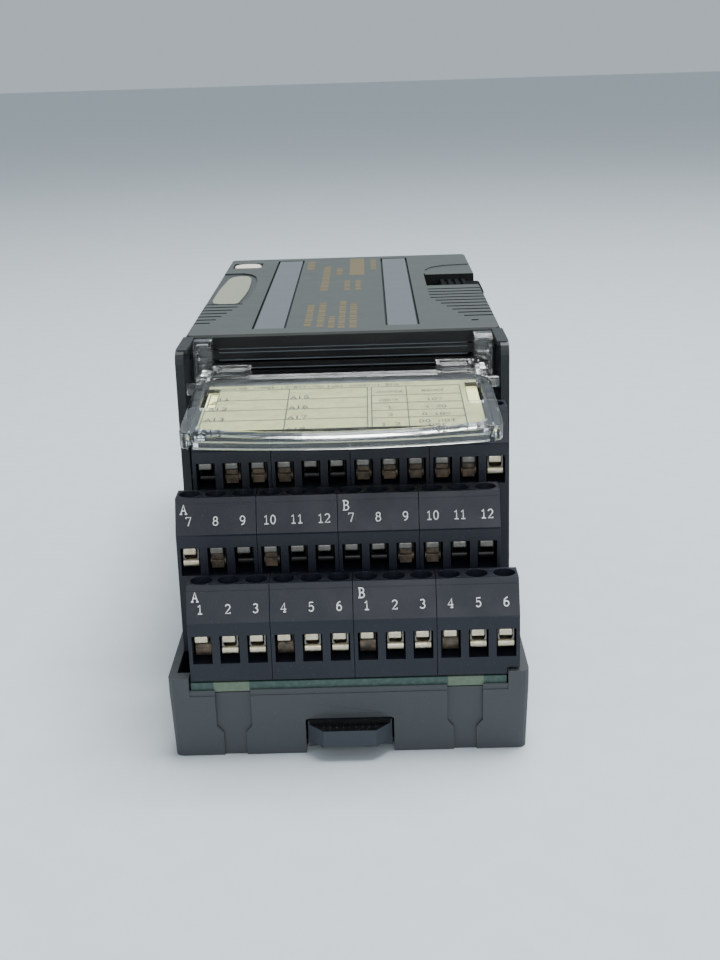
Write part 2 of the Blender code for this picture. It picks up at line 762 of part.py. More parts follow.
def clamp_mesh(row):
    """Three box clamps with their screws, on the bar that stands for their solder tails."""
    front = row_front(row)
    low, high = window_z(row)
    cage_z = (low + CAGE_FOOT, high - GAP)
    cage_y = (front + CAGE_SETBACK, front + CAGE_SETBACK + CAGE_DEPTH)
    half = WINDOW_WIDTH / 2 - GAP
    cages = [((x - half, x + half), cage_y, cage_z) for x in pole_xs(0)]
    clamps = place(f"row_{row + 1}_clamps", boxes(*cages))
    mouth = half - CAGE_SIDE
    mouth_z = (cage_z[0] + CAGE_LIP, cage_z[1] - CAGE_ROOF)
    mouths = [
        ((x - mouth, x + mouth), (cage_y[0] - PAST, cage_y[1] - OVERLAP * 2), mouth_z) for x in pole_xs(0)
    ]
    cut(clamps, boxes(*mouths), "mouths")
    y = screw_y(row)
    head_top = row_plate_foot(row) + PLATE_RISE - CLAMP_HEAD_SINK
    head_foot = head_top - CLAMP_HEAD_HEIGHT
    shanks = [
        (CLAMP_SCREW_RADIUS, (x, y, cage_z[1] - CAGE_ROOF / 2), (x, y, head_foot + OVERLAP))
        for x in pole_xs(0)
    ]
    join(clamps, cylinders(*shanks, sides=8), "shanks")
    heads = [(CLAMP_HEAD_RADIUS, (x, y, head_foot), (x, y, head_top)) for x in pole_xs(0)]
    join(clamps, cylinders(*heads, sides=10), "heads")
    middle = (low + high) / 2
    bar_y = (cage_y[1] - OVERLAP, front + WINDOW_DEPTH - OVERLAP - GAP)
    bar_z = (middle - BUS_HEIGHT / 2, middle + BUS_HEIGHT / 2)
    join(clamps, boxes(((-PITCH, PITCH), bar_y, bar_z)), "bus_bar")
    return finished_mesh(clamps)


def row_side(row):
    """The first and last rows sit a quarter pitch to the right, and the middle row to the left."""
    return -1 if row == 1 else 1


def block_middle(row, block):
    return row_side(row) * ROW_SHIFT + (block - (BLOCKS_PER_ROW - 1) / 2) * POLES * PITCH


def post_overhang(row, side):
    """How far a row's end reaches over the base's post on one side, with the gap there."""
    row_end = side * row_side(row) * ROW_SHIFT + (BLOCKS_PER_ROW * POLES * PITCH - SEAM) / 2
    return row_end - (HALF - POST_WIDTH) + GAP


def notched_sides(row, number):
    """The sides on which a block ends its row over a post."""
    ends = [side for side, end in ((-1, 0), (1, BLOCKS_PER_ROW - 1)) if number == end]
    return tuple(side for side in ends if post_overhang(row, side) > 0)


def terminals():
    for row in range(ROWS):
        metal = clamp_mesh(row)
        housings = {}
        for number in range(BLOCKS_PER_ROW):
            sides = notched_sides(row, number)
            if sides not in housings:
                housings[sides] = block_mesh(row, sides)
            for kind, mesh, finish in (
                ("terminal_block", housings[sides], SLATE),
                ("clamp_set", metal, NICKEL),
            ):
                mesh.materials.clear()
                mesh.materials.append(finish)
                made = bpy.data.objects.new(f"{kind}_{row + 1}_{number + 1}", mesh)
                made.location = (block_middle(row, number) * MM, 0, 0)
                made.parent = ORIGIN
                PARTS.objects.link(made)


# Rail latch, its spring and the grounding clip


def rail_latch():
    """A bar that slides along the slot: finger tab in front, wedge nose under the rail behind."""
    half = LATCH_SLOT_WIDTH / 2 - LATCH_CLEAR
    bottom, top = LATCH_LIP + GAP, LATCH_SLOT_TOP - LATCH_CLEAR
    end = CHANNEL_NEAR
    tip = end + GAP + RAIL_BITE
    start = LATCH_BAR_START
    wedge = [(start, bottom), (start, top), (end - GAP, top), (end - GAP, HOOK_TOP), (tip, HOOK_TOP)]
    wedge += [(tip, HOOK_TOP - LATCH_NOSE), (end - GAP, bottom)]
    latch = place("rail_latch", extruded(wedge, -half, half, ALONG_X), SLATE)
    reach, narrow = LATCH_TAB_REACH, LATCH_TAB_TIP_WIDTH / 2
    tab_half = half - GAP
    root = LATCH_TAB_ROOT
    tab = [(-tab_half, root), (-tab_half, 0), (-narrow, -reach), (narrow, -reach)]
    tab += [(tab_half, 0), (tab_half, root)]
    join(latch, extruded(tab, LATCH_TAB_BOTTOM, LATCH_TAB_TOP), "tab")
    window = SPRING_WINDOW_WIDTH / 2
    window_start = SPRING_START - SPRING_PEG - LATCH_TRAVEL - 2 * GAP
    window_y = (window_start, SPRING_START + SPRING_LENGTH + GAP)
    cut(latch, boxes(((-window, window), window_y, (0, LATCH_SLOT_TOP))), "spring_window")


def latch_spring():
    """A compression spring between the base's peg and the far end of the bar's window."""
    curve = bpy.data.curves.new("latch_spring", "CURVE")
    curve.dimensions = "3D"
    curve.bevel_depth = SPRING_WIRE / 2 * MM
    curve.bevel_resolution = 1
    curve.use_fill_caps = True
    steps = 10 * SPRING_TURNS
    spline = curve.splines.new("POLY")
    spline.points.add(steps)
    middle = (LATCH_LIP + LATCH_SLOT_TOP) / 2
    run = SPRING_LENGTH - SPRING_WIRE
    for index, point in enumerate(spline.points):
        share = index / steps
        angle = share * SPRING_TURNS * math.tau
        x = SPRING_RADIUS * math.cos(angle)
        z = middle + SPRING_RADIUS * math.sin(angle)
        point.co = (x * MM, (SPRING_START + SPRING_WIRE / 2 + share * run) * MM, z * MM, 1)
    spring = bpy.data.objects.new("latch_spring", curve)
    spring.parent = ORIGIN
    curve.materials.append(STEEL)
    PARTS.objects.link(spring)


def rail_clip():
    """A strip that runs from the board's underside through the floor to the rail's flange."""
    middle = clip_y()
    across = (CLIP_X - CLIP_WIDTH / 2, CLIP_X + CLIP_WIDTH / 2)
    upright = (middle - CLIP_THICKNESS / 2, middle + CLIP_THICKNESS / 2)
    top = BOARD_BOTTOM - GAP
    clip = place("rail_clip", boxes((across, upright, (RAIL_HEIGHT + CLIP_LIFT, top))), STEEL)
    foot = (middle - CLIP_THICKNESS / 2, middle + CLIP_FOOT)
    join(clip, boxes((across, foot, (top - CLIP_THICKNESS, top))), "foot")


# Deck, ears and connectors


def carrier_deck():
    """The moulding under the module: plate, skirt and the wall behind the terminals."""
    plate_z = (DECK_TOP - DECK_THICKNESS, DECK_TOP)
    deck = place(
        "carrier_deck",
        rounded_box((-HALF, HALF), (MODULE_START, LENGTH), (BASE_TOP + GAP, DECK_TOP), CORNER_RADIUS),
        WARM_GREY,
    )
    inside_y = (MODULE_START - PAST, LENGTH - BASE_WALL)
    cut(deck, boxes(((-INNER, INNER), inside_y, (BASE_TOP - PAST, plate_z[0]))), "inside")
    bay = (-BAY_WALL_HALF, BAY_WALL_HALF)
    bay_y = (BAY_WALL_FRONT, BAY_WALL_BACK)
    join(deck, boxes((bay, bay_y, (BASE_TOP + GAP, BAY_WALL_TOP))), "bay_wall")
    bridge = (BAY_WALL_FRONT + OVERLAP, MODULE_START + CORNER_RADIUS + PAST)
    join(deck, boxes(((bay[0] + OVERLAP, bay[1] - OVERLAP), bridge, plate_z)), "bridge")
    socket_x = (-SOCKET_LENGTH / 2 - SOCKET_CLEAR, SOCKET_LENGTH / 2 + SOCKET_CLEAR)
    socket_y = (SOCKET_Y - SOCKET_WIDTH / 2 - SOCKET_CLEAR, SOCKET_Y + SOCKET_WIDTH / 2 + SOCKET_CLEAR)
    past_z = (plate_z[0] - PAST, plate_z[1] + PAST)
    cut(deck, boxes((socket_x, socket_y, past_z)), "socket_opening")
    cut(deck, boxes((*lever_foot_slot(), past_z)), "lever_slot")
    wells = [
        (DIAL_RADIUS + GAP, (s * DIAL_X, DIAL_Y, past_z[0]), (s * DIAL_X, DIAL_Y, past_z[1]))
        for s in (-1, 1)
    ]
    cut(deck, cylinders(*wells, sides=24), "dial_wells")
    shade_round(deck)


def ears():
    """Side pieces with an open channel in front, where the card holder's hinge pins turn."""
    for side, name in ((-1, "left_ear"), (1, "right_ear")):

        def spread(low, high, side=side):
            return tuple(sorted((side * low, side * high)))

        outline = [(EAR_FRONT, BASE_TOP + GAP), (BAY_WALL_BACK, BASE_TOP + GAP), (BAY_WALL_BACK, EAR_TOP)]
        outline += corner_arc(EAR_FRONT, EAR_TOP, EAR_CORNER)
        outer = spread(HALF - EAR_WALL, HALF)
        ear = place(name, extruded(outline, *outer, ALONG_X), DARK_GREY)
        cap_y = (EAR_FRONT + EAR_CAP_FRONT, BAY_WALL_BACK)
        cap_x = spread(HALF - EAR_CAP_REACH, HALF - OVERLAP)
        join(ear, boxes((cap_x, cap_y, (EAR_TOP - EAR_CAP, EAR_TOP))), "cap")
        back_y = (BAY_WALL_BACK - DECK_WALL, BAY_WALL_BACK)
        back_z = (BASE_TOP + GAP, EAR_TOP - OVERLAP)
        join(ear, boxes((cap_x, back_y, back_z)), "return")
        hole_x = spread(HALF - EAR_WALL - PAST, HALF - EAR_WALL + HINGE_PIN_BITE + GAP)
        start = (hole_x[0], HOLDER_PIVOT_Y, HOLDER_PIVOT_Z)
        end = (hole_x[1], HOLDER_PIVOT_Y, HOLDER_PIVOT_Z)
        cut(ear, cylinders((HINGE_HOLE_RADIUS, start, end)), "pin_hole")


def corner_arc(y, z, radius, steps=4):
    """Points round the upper front corner at (y, z), from its top to its front."""
    points = []
    for step in range(steps + 1):
        angle = math.radians(90 + 90 * step / steps)
        points.append((y + radius + radius * math.cos(angle), z - radius + radius * math.sin(angle)))
    return points


def carrier_socket():
    """The header on the terminal board that the module plugs onto."""
    half = SOCKET_LENGTH / 2
    y = (SOCKET_Y - SOCKET_WIDTH / 2, SOCKET_Y + SOCKET_WIDTH / 2)
    socket = place("carrier_socket", boxes(((-half, half), y, (BOARD_TOP + GAP, SOCKET_TOP))), BLACK)
    slot = SOCKET_SLOT_LENGTH / 2
    slot_y = (SOCKET_Y - SOCKET_SLOT_WIDTH / 2, SOCKET_Y + SOCKET_SLOT_WIDTH / 2)
    slot_z = (SOCKET_TOP - SOCKET_SLOT_DEPTH, SOCKET_TOP + PAST)
    cut(socket, boxes(((-slot, slot), slot_y, slot_z)), "slot")


def side_ports():
    """The receptacles that link this carrier to its neighbours, flush in the base's side walls."""
    z = (FLOOR_TOP + GAP / 2, BOARD_BOTTOM - GAP)
    middle = (z[0] + z[1]) / 2
    y = (SIDE_PORT_Y - SIDE_PORT_LENGTH / 2, SIDE_PORT_Y + SIDE_PORT_LENGTH / 2)
    for side, name in ((-1, "left_link_port"), (1, "right_link_port")):
        outer = HALF - DRAFT
        x = sorted((side * (outer - SIDE_PORT_DEPTH), side * outer))
        port = place(name, boxes((x, y, z)), BLACK)
        wall = SIDE_PORT_WALL
        mouth = sorted((side * (outer - SIDE_PORT_DEPTH + wall), side * (outer + PAST)))
        slot_z = (middle - SIDE_PORT_SLOT / 2, middle + SIDE_PORT_SLOT / 2)
        cut(port, boxes((mouth, (y[0] + wall, y[1] - wall), slot_z)), "mouth")


def keying_dials():
    for side, name in ((-1, "keying_dial_left"), (1, "keying_dial_right")):
        x = side * DIAL_X
        low, high = DECK_TOP - DIAL_HEIGHT, DECK_TOP
        disc = (DIAL_RADIUS, (x, DIAL_Y, low), (x, DIAL_Y, high))
        dial = place(name, cylinders(disc, sides=24), DIAL_WHITE, at=(x, DIAL_Y, low))
        slot_y = (DIAL_Y - DIAL_SLOT_REACH, DIAL_Y + DIAL_SLOT_REACH)
        slot_x = (x - DIAL_SLOT / 2, x + DIAL_SLOT / 2)
        cut(dial, boxes((slot_x, slot_y, (high - DIAL_SLOT_DEPTH, high + PAST))), "driver_slot")
        shade_round(dial)


# Module


def lever_notch():
    """The x and y ranges of the release lever's pocket, open at the module's right side."""
    half = LEVER_LENGTH / 2
    return (LEVER_X, MODULE_HALF + PAST), (LEVER_Y - half, LEVER_Y + half)


def lever_arm():
    """The x and y ranges of the lever's upright arm."""
    outer = MODULE_HALF - MODULE_WALL - LEVER_CLEAR
    half = LEVER_ARM_WIDTH / 2
    return (outer - LEVER_ARM_THICKNESS, outer), (LEVER_Y - half, LEVER_Y + half)


def lever_foot_slot():
    """Room for the arm's foot in the housing's floor and the deck, over its whole travel."""
    x, y = lever_arm()
    slot_x = (x[0] - LEVER_TRAVEL - LEVER_CLEAR, x[1] + LEVER_CLEAR)
    return slot_x, (y[0] - LEVER_CLEAR, y[1] + LEVER_CLEAR)


def module_housing():
    """The lower shell: floor with the connector opening, walls, and louvres in both end walls."""
    start, end = MODULE_START + GAP / 2, LENGTH - GAP / 2
    outer = ((-MODULE_HALF, MODULE_HALF), (start, end), (MODULE_FLOOR, HOUSING_TOP))
    housing = place("module_housing", rounded_box(*outer, MODULE_CORNER, segments=2), BLACK)
    inner_x = (-MODULE_HALF + MODULE_WALL, MODULE_HALF - MODULE_WALL)
    inner_y = (start + MODULE_WALL, end - MODULE_WALL)
    floor_top = MODULE_FLOOR + MODULE_WALL
    cut(housing, boxes((inner_x, inner_y, (floor_top, HOUSING_TOP + PAST))), "inside")
    half = SOCKET_LENGTH / 2 + SOCKET_CLEAR
    reach = SOCKET_WIDTH / 2 + SOCKET_CLEAR
    floor_z = (MODULE_FLOOR - PAST, floor_top + PAST)
    cut(housing, boxes(((-half, half), (SOCKET_Y - reach, SOCKET_Y + reach), floor_z)), "socket_opening")
    cut(housing, boxes((*lever_foot_slot(), floor_z)), "lever_slot")
    notch_x, notch_y = lever_notch()
    wall_x = (MODULE_HALF - MODULE_WALL - PAST, notch_x[1])
    notch_z = (LEVER_TOP - LEVER_THICKNESS - LEVER_CLEAR, HOUSING_TOP + PAST)
    cut(housing, boxes((wall_x, notch_y, notch_z)), "lever_notch")
    ends = [(start - PAST, start + MODULE_WALL + PAST / 2), (end - MODULE_WALL - PAST / 2, end + PAST)]
    across = (-LOUVRE_HALF, LOUVRE_HALF)
    slots = []
    for number in range(LOUVRES):
        top = LOUVRE_TOP - number * LOUVRE_PITCH
        slots += [(across, y, (top - LOUVRE_HEIGHT, top)) for y in ends]
    cut(housing, boxes(*slots), "louvres")
    legs = [
        (STANDOFF_RADIUS, (x, y, floor_top - OVERLAP), (x, y, MODULE_BOARD_Z - GAP))
        for x in (-STANDOFF_X, STANDOFF_X)
        for y in (inner_y[0] + STANDOFF_INSET, inner_y[1] - STANDOFF_INSET)
    ]
    join(housing, cylinders(*legs, sides=12), "standoffs")


def barrel_outline(width, end_width, start, length, steps=6):
    """A badge outline: straight ends and bowed sides, centred on the badge's middle line."""
    side = []
    for step in range(steps + 1):
        share = step / steps
        bow = math.sin(share * math.pi)
        side.append((end_width / 2 + (width - end_width) / 2 * bow, start + share * length))
    return [(BADGE_X + x, y) for x, y in side] + [(BADGE_X - x, y) for x, y in reversed(side)]


def module_cover():
    """The face plate with its strips, badge recess, lens window, grip grooves and lever pocket."""
    x = (-MODULE_HALF, MODULE_HALF)
    cover = place(
        "module_cover",
        rounded_box(x, (MODULE_START, LENGTH), (COVER_BOTTOM, MODULE_TOP), COVER_CORNER, COVER_BEVEL, 2),
        COVER_GREY,
    )
    rim_x = MODULE_HALF - MODULE_WALL - GAP
    rim_y = (MODULE_START + MODULE_WALL + GAP * 2, LENGTH - MODULE_WALL - GAP * 2)
    rim_z = (COVER_BOTTOM - COVER_RIM_DEPTH, COVER_BOTTOM + OVERLAP)
    join(cover, boxes(((-rim_x, rim_x), rim_y, rim_z)), "rim")
    hollow_x = (-rim_x + COVER_RIM, rim_x - COVER_RIM)
    hollow_y = (rim_y[0] + COVER_RIM, rim_y[1] - COVER_RIM)
    cut(cover, boxes((hollow_x, hollow_y, (rim_z[0] - PAST, COVER_BOTTOM))), "rim_inside")
    groove_z = (MODULE_TOP - GROOVE_DEPTH, MODULE_TOP + PAST)
    run = (MODULE_START + STRIP_START, LENGTH - STRIP_END)
    lines = []
    for middle in (STRIP_LEFT, STRIP_RIGHT):
        for edge in (middle - STRIP_WIDTH / 2, middle + STRIP_WIDTH / 2):
            lines.append(((edge - STRIP_GROOVE / 2, edge + STRIP_GROOVE / 2), run, groove_z))
    cut(cover, boxes(*lines), "strip_grooves")
    cut(cover, boxes(*fan_grooves(groove_z)), "grip_grooves")
    outline = barrel_outline(
        BADGE_WIDTH + 2 * BADGE_MARGIN,
        BADGE_END_WIDTH + 2 * BADGE_MARGIN,
        BADGE_START - BADGE_MARGIN,
        BADGE_LENGTH + 2 * BADGE_MARGIN,
    )
    cut(cover, extruded(outline, MODULE_TOP - BADGE_SINK - GAP, MODULE_TOP + PAST), "badge_recess")
    lens_x = (LENS_X - LENS_WIDTH / 2 - GAP, LENS_X + LENS_WIDTH / 2 + GAP)
    lens_y = (LENS_Y - LENS_LENGTH / 2 - GAP, LENS_Y + LENS_LENGTH / 2 + GAP)
    lens_z = (MODULE_TOP - LENS_THICKNESS - GAP, MODULE_TOP + PAST)
    cut(cover, boxes((lens_x, lens_y, lens_z)), "lens_window")
    cut(cover, boxes((*lever_notch(), (rim_z[0] - PAST, MODULE_TOP + PAST))), "lever_pocket")


def fan_grooves(z):
    """Two fans of grip grooves at the near corners, shorter towards the near edge."""
    grooves = []
    for number in range(FAN_GROOVES):
        y = FAN_START + number * FAN_PITCH
        across = (y - FAN_WIDTH / 2, y + FAN_WIDTH / 2)
        turned = FAN_FIRST_ANGLE + (FAN_LAST_ANGLE - FAN_FIRST_ANGLE) * number / (FAN_GROOVES - 1)
        reach = FAN_REACH * math.sin(math.radians(turned))
        grooves.append(((-MODULE_HALF - PAST, -MODULE_HALF + reach), across, z))
        grooves.append(((MODULE_HALF - reach, MODULE_HALF + PAST), across, z))
    return grooves


def cover_inserts():
    top = MODULE_TOP - BADGE_SINK + BADGE_THICKNESS
    outline = barrel_outline(BADGE_WIDTH, BADGE_END_WIDTH, BADGE_START, BADGE_LENGTH)
    place("badge_insert", extruded(outline, MODULE_TOP - BADGE_SINK, top), CREAM)
    x = (LENS_X - LENS_WIDTH / 2, LENS_X + LENS_WIDTH / 2)
    y = (LENS_Y - LENS_LENGTH / 2, LENS_Y + LENS_LENGTH / 2)
    lens_z = (MODULE_TOP - LENS_THICKNESS, MODULE_TOP)
    place("indicator_lens", rounded_box(x, y, lens_z, LENS_CORNER), LENS)


def release_lever():
    """A plate in the cover's pocket whose end sticks out at the side, with an arm to the carrier."""
    x, y = lever_notch()
    plate_x = (x[0] + LEVER_TRAVEL + LEVER_CLEAR, MODULE_HALF + LEVER_STICK_OUT)
    plate_y = (y[0] + LEVER_CLEAR, y[1] - LEVER_CLEAR)
    plate_z = (LEVER_TOP - LEVER_THICKNESS, LEVER_TOP)
    plate = rounded_box(plate_x, plate_y, plate_z, LEVER_CORNER, segments=2)
    lever = place("release_lever", plate, BLACK)
    arm_x, arm_y = lever_arm()
    join(lever, boxes((arm_x, arm_y, (LEVER_FOOT, plate_z[0] + OVERLAP))), "arm")
    ridges = []
    ridge_y = (plate_y[0] + LEVER_RIDGE_SETBACK, plate_y[1] - LEVER_RIDGE_SETBACK)
    ridge_z = (LEVER_TOP - OVERLAP, LEVER_TOP + LEVER_RIDGE_HEIGHT)
    for number in range(LEVER_RIDGES):
        ridge = MODULE_HALF - LEVER_RIDGE_INSET - number * LEVER_RIDGE_PITCH
        ridges.append(((ridge - LEVER_RIDGE_WIDTH / 2, ridge + LEVER_RIDGE_WIDTH / 2), ridge_y, ridge_z))
    join(lever, boxes(*ridges), "ridges")


def module_electronics():
    inset = MODULE_WALL + MODULE_BOARD_INSET
    x = (-MODULE_HALF + inset, MODULE_HALF - inset)
    y = (MODULE_START + inset, LENGTH - inset)
    top = MODULE_BOARD_Z + BOARD_THICKNESS
    place("module_board", boxes((x, y, (MODULE_BOARD_Z, top))), BOARD_GREEN)
    half = SOCKET_LENGTH / 2 - SOCKET_CLEAR
    body_y = (SOCKET_Y - SOCKET_WIDTH / 2, SOCKET_Y + SOCKET_WIDTH / 2)
    plug = place(
        "module_plug", boxes(((-half, half), body_y, (SOCKET_TOP + GAP, MODULE_BOARD_Z - GAP))), BLACK
    )
    tongue = SOCKET_SLOT_LENGTH / 2 - 2 * GAP
    tongue_half = SOCKET_SLOT_WIDTH / 2 - TONGUE_CLEAR
    tongue_y = (SOCKET_Y - tongue_half, SOCKET_Y + tongue_half)
    tongue_z = (SOCKET_TOP - SOCKET_SLOT_DEPTH + GAP * 2, SOCKET_TOP + GAP + OVERLAP)
    join(plug, boxes(((-tongue, tongue), tongue_y, tongue_z)), "tongue")
    seat = top + GAP
    stand_box("isolation_converter", CONVERTER_AT, CONVERTER, seat, BLACK)
    stand_box("processor_chip", CHIP_AT, CHIP, seat, BLACK)
    x, y = CAPACITOR_AT[0], MODULE_START + CAPACITOR_AT[1]
    can = (CAPACITOR_RADIUS, (x, y, seat), (x, y, seat + CAPACITOR_HEIGHT))
    shade_round(place("filter_capacitor", cylinders(can), SLATE))


def stand_box(name, middle, size, seat, finish):
    """A block on the module's board; its place is given from the middle and the module's near end."""
    x = (middle[0] - size[0] / 2, middle[0] + size[0] / 2)
    along = MODULE_START + middle[1]
    y = (along - size[1] / 2, along + size[1] / 2)
    place(name, boxes((x, y, (seat, seat + size[2]))), finish)


# Card holder


def tilted(mesh):
    """Moves a mesh drawn from the tray's far top edge, with y towards the module, to its place."""
    turn = Matrix.Rotation(math.radians(HOLDER_TILT), 4, "X")
    mesh.transform(Matrix.Translation(Vector((0, HOLDER_FAR_Y, HOLDER_FAR_Z)) * MM) @ turn)
    return mesh


def bowed_outline(half, back, front, steps=8):
    """A plan outline whose near edge bows out by the tray's bow."""
    points = [(-half, back), (half, back)]
    for step in range(steps + 1):
        share = 1 - 2 * step / steps
        points.append((half * share, front - HOLDER_BOW * (1 - share * share)))
    return points


def card_holder():
    """The clear tray with hinge arms; its origin is on the hinge line."""
    half = HOLDER_HALF
    front = -HOLDER_LENGTH + HOLDER_BOW
    pivot = (0, HOLDER_PIVOT_Y, HOLDER_PIVOT_Z)
    plate = tilted(extruded(bowed_outline(half, 0, front), -HOLDER_LIP_DEPTH, 0))
    holder = place("card_holder", plate, CLEAR, at=pivot)
    behind_lip = bowed_outline(half + OVERLAP, PAST, front + HOLDER_LIP)
    bottom = -HOLDER_LIP_DEPTH - PAST
    cut(holder, tilted(extruded(behind_lip, bottom, -HOLDER_THICKNESS)), "under_side")
    recess = bowed_outline(half - HOLDER_BORDER, -HOLDER_FAR_BORDER, front + HOLDER_LIP)
    cut(holder, tilted(extruded(recess, bottom, -HOLDER_SKIN)), "card_recess")
    arm_inner = ARM_OUTER - ARM_WIDTH
    side_x = (arm_inner, half - OVERLAP)
    web_y = (HOLDER_FAR_Y - ARM_FRONT, HOLDER_PIVOT_Y + ARM_BACK)
    join(holder, both_sides(side_x, web_y, (ARM_WEB_BOTTOM, HOLDER_FAR_Z - OVERLAP)), "webs")
    neck_x = (arm_inner + ARM_STEP, ARM_OUTER)
    neck_y = (HOLDER_PIVOT_Y - HOLDER_BARREL * 0.8, HOLDER_PIVOT_Y + ARM_BACK)
    neck_z = (ARM_WEB_BOTTOM + ARM_STEP, HOLDER_PIVOT_Z)
    join(holder, both_sides(neck_x, neck_y, neck_z), "necks")
    barrels, pins = [], []
    for side in (-1, 1):
        inner = (side * (arm_inner - ARM_STEP), HOLDER_PIVOT_Y, HOLDER_PIVOT_Z)
        outer = (side * (ARM_OUTER + ARM_STEP / 2), HOLDER_PIVOT_Y, HOLDER_PIVOT_Z)
        tip = (side * (HALF - EAR_WALL + HINGE_PIN_BITE), HOLDER_PIVOT_Y, HOLDER_PIVOT_Z)
        barrels.append((HOLDER_BARREL, inner, outer))
        pins.append((HINGE_PIN_RADIUS, inner, tip))
    join(holder, cylinders(*barrels, sides=20), "barrels")
    join(holder, cylinders(*pins, sides=12), "pins")
    tab_x = (TAB_CENTRE - TAB_WIDTH / 2, TAB_CENTRE + TAB_WIDTH / 2)
    tab_y = (HOLDER_FAR_Y - TAB_FRONT, HOLDER_PIVOT_Y + GAP)
    tab_z = (ARM_WEB_BOTTOM, ARM_WEB_BOTTOM + TAB_HEIGHT)
    join(holder, both_sides(tab_x, tab_y, tab_z), "tabs")
    fall = (HOLDER_FAR_Y - NUB_Y) * math.tan(math.radians(HOLDER_TILT))
    nub_z = HOLDER_FAR_Z - HOLDER_THICKNESS / 2 - fall
    nubs = [
        (NUB_RADIUS, (s * (half - NUB_ROOT), NUB_Y, nub_z), (s * (half + NUB_REACH), NUB_Y, nub_z))
        for s in (-1, 1)
    ]
    join(holder, cylinders(*nubs, sides=12), "nubs")


def wiring_card():
    """The printed card in the holder's recess, with the same bowed edge."""
    half = HOLDER_HALF - HOLDER_BORDER - GAP
    front = -HOLDER_LENGTH + HOLDER_BOW + HOLDER_LIP + GAP
    outline = bowed_outline(half, -HOLDER_FAR_BORDER - GAP, front)
    top = -HOLDER_SKIN - GAP
    card = tilted(extruded(outline, top - CARD_THICKNESS, top))
    place("wiring_card", card, CARD, at=(0, HOLDER_PIVOT_Y, HOLDER_PIVOT_Z))


carrier_base()
terminal_board()
board_screws()
terminals()
rail_latch()
latch_spring()
rail_clip()
carrier_deck()
ears()
carrier_socket()
side_ports()
keying_dials()
module_housing()
module_cover()
cover_inserts()
release_lever()
module_electronics()
card_holder()
wiring_card()
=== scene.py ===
"""The looks of the analogue input module and its terminal carrier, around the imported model."""

import math

import bmesh
import bpy
from mathutils import Matrix, Vector


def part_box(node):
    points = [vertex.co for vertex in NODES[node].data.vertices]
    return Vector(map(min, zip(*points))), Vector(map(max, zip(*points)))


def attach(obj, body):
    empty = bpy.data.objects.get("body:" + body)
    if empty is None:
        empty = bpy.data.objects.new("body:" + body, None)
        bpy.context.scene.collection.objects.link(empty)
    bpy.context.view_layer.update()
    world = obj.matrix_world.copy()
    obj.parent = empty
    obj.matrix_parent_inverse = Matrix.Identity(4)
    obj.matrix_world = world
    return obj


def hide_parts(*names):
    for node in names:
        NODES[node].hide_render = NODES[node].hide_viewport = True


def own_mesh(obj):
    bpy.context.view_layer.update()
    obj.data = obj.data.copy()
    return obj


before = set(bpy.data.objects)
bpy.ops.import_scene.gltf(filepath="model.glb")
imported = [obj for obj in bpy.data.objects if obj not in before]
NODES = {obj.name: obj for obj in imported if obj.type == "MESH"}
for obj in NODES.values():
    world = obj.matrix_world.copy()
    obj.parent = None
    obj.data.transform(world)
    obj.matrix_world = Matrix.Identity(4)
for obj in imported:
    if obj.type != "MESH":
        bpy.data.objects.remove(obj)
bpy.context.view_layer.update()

MM = 0.001


def srgb(red, green, blue):
    """A linear colour from 8-bit display values."""

    def linear(value):
        share = value / 255
        return share / 12.92 if share <= 0.04045 else ((share + 0.055) / 1.055) ** 2.4

    return (linear(red), linear(green), linear(blue), 1.0)


# Materials


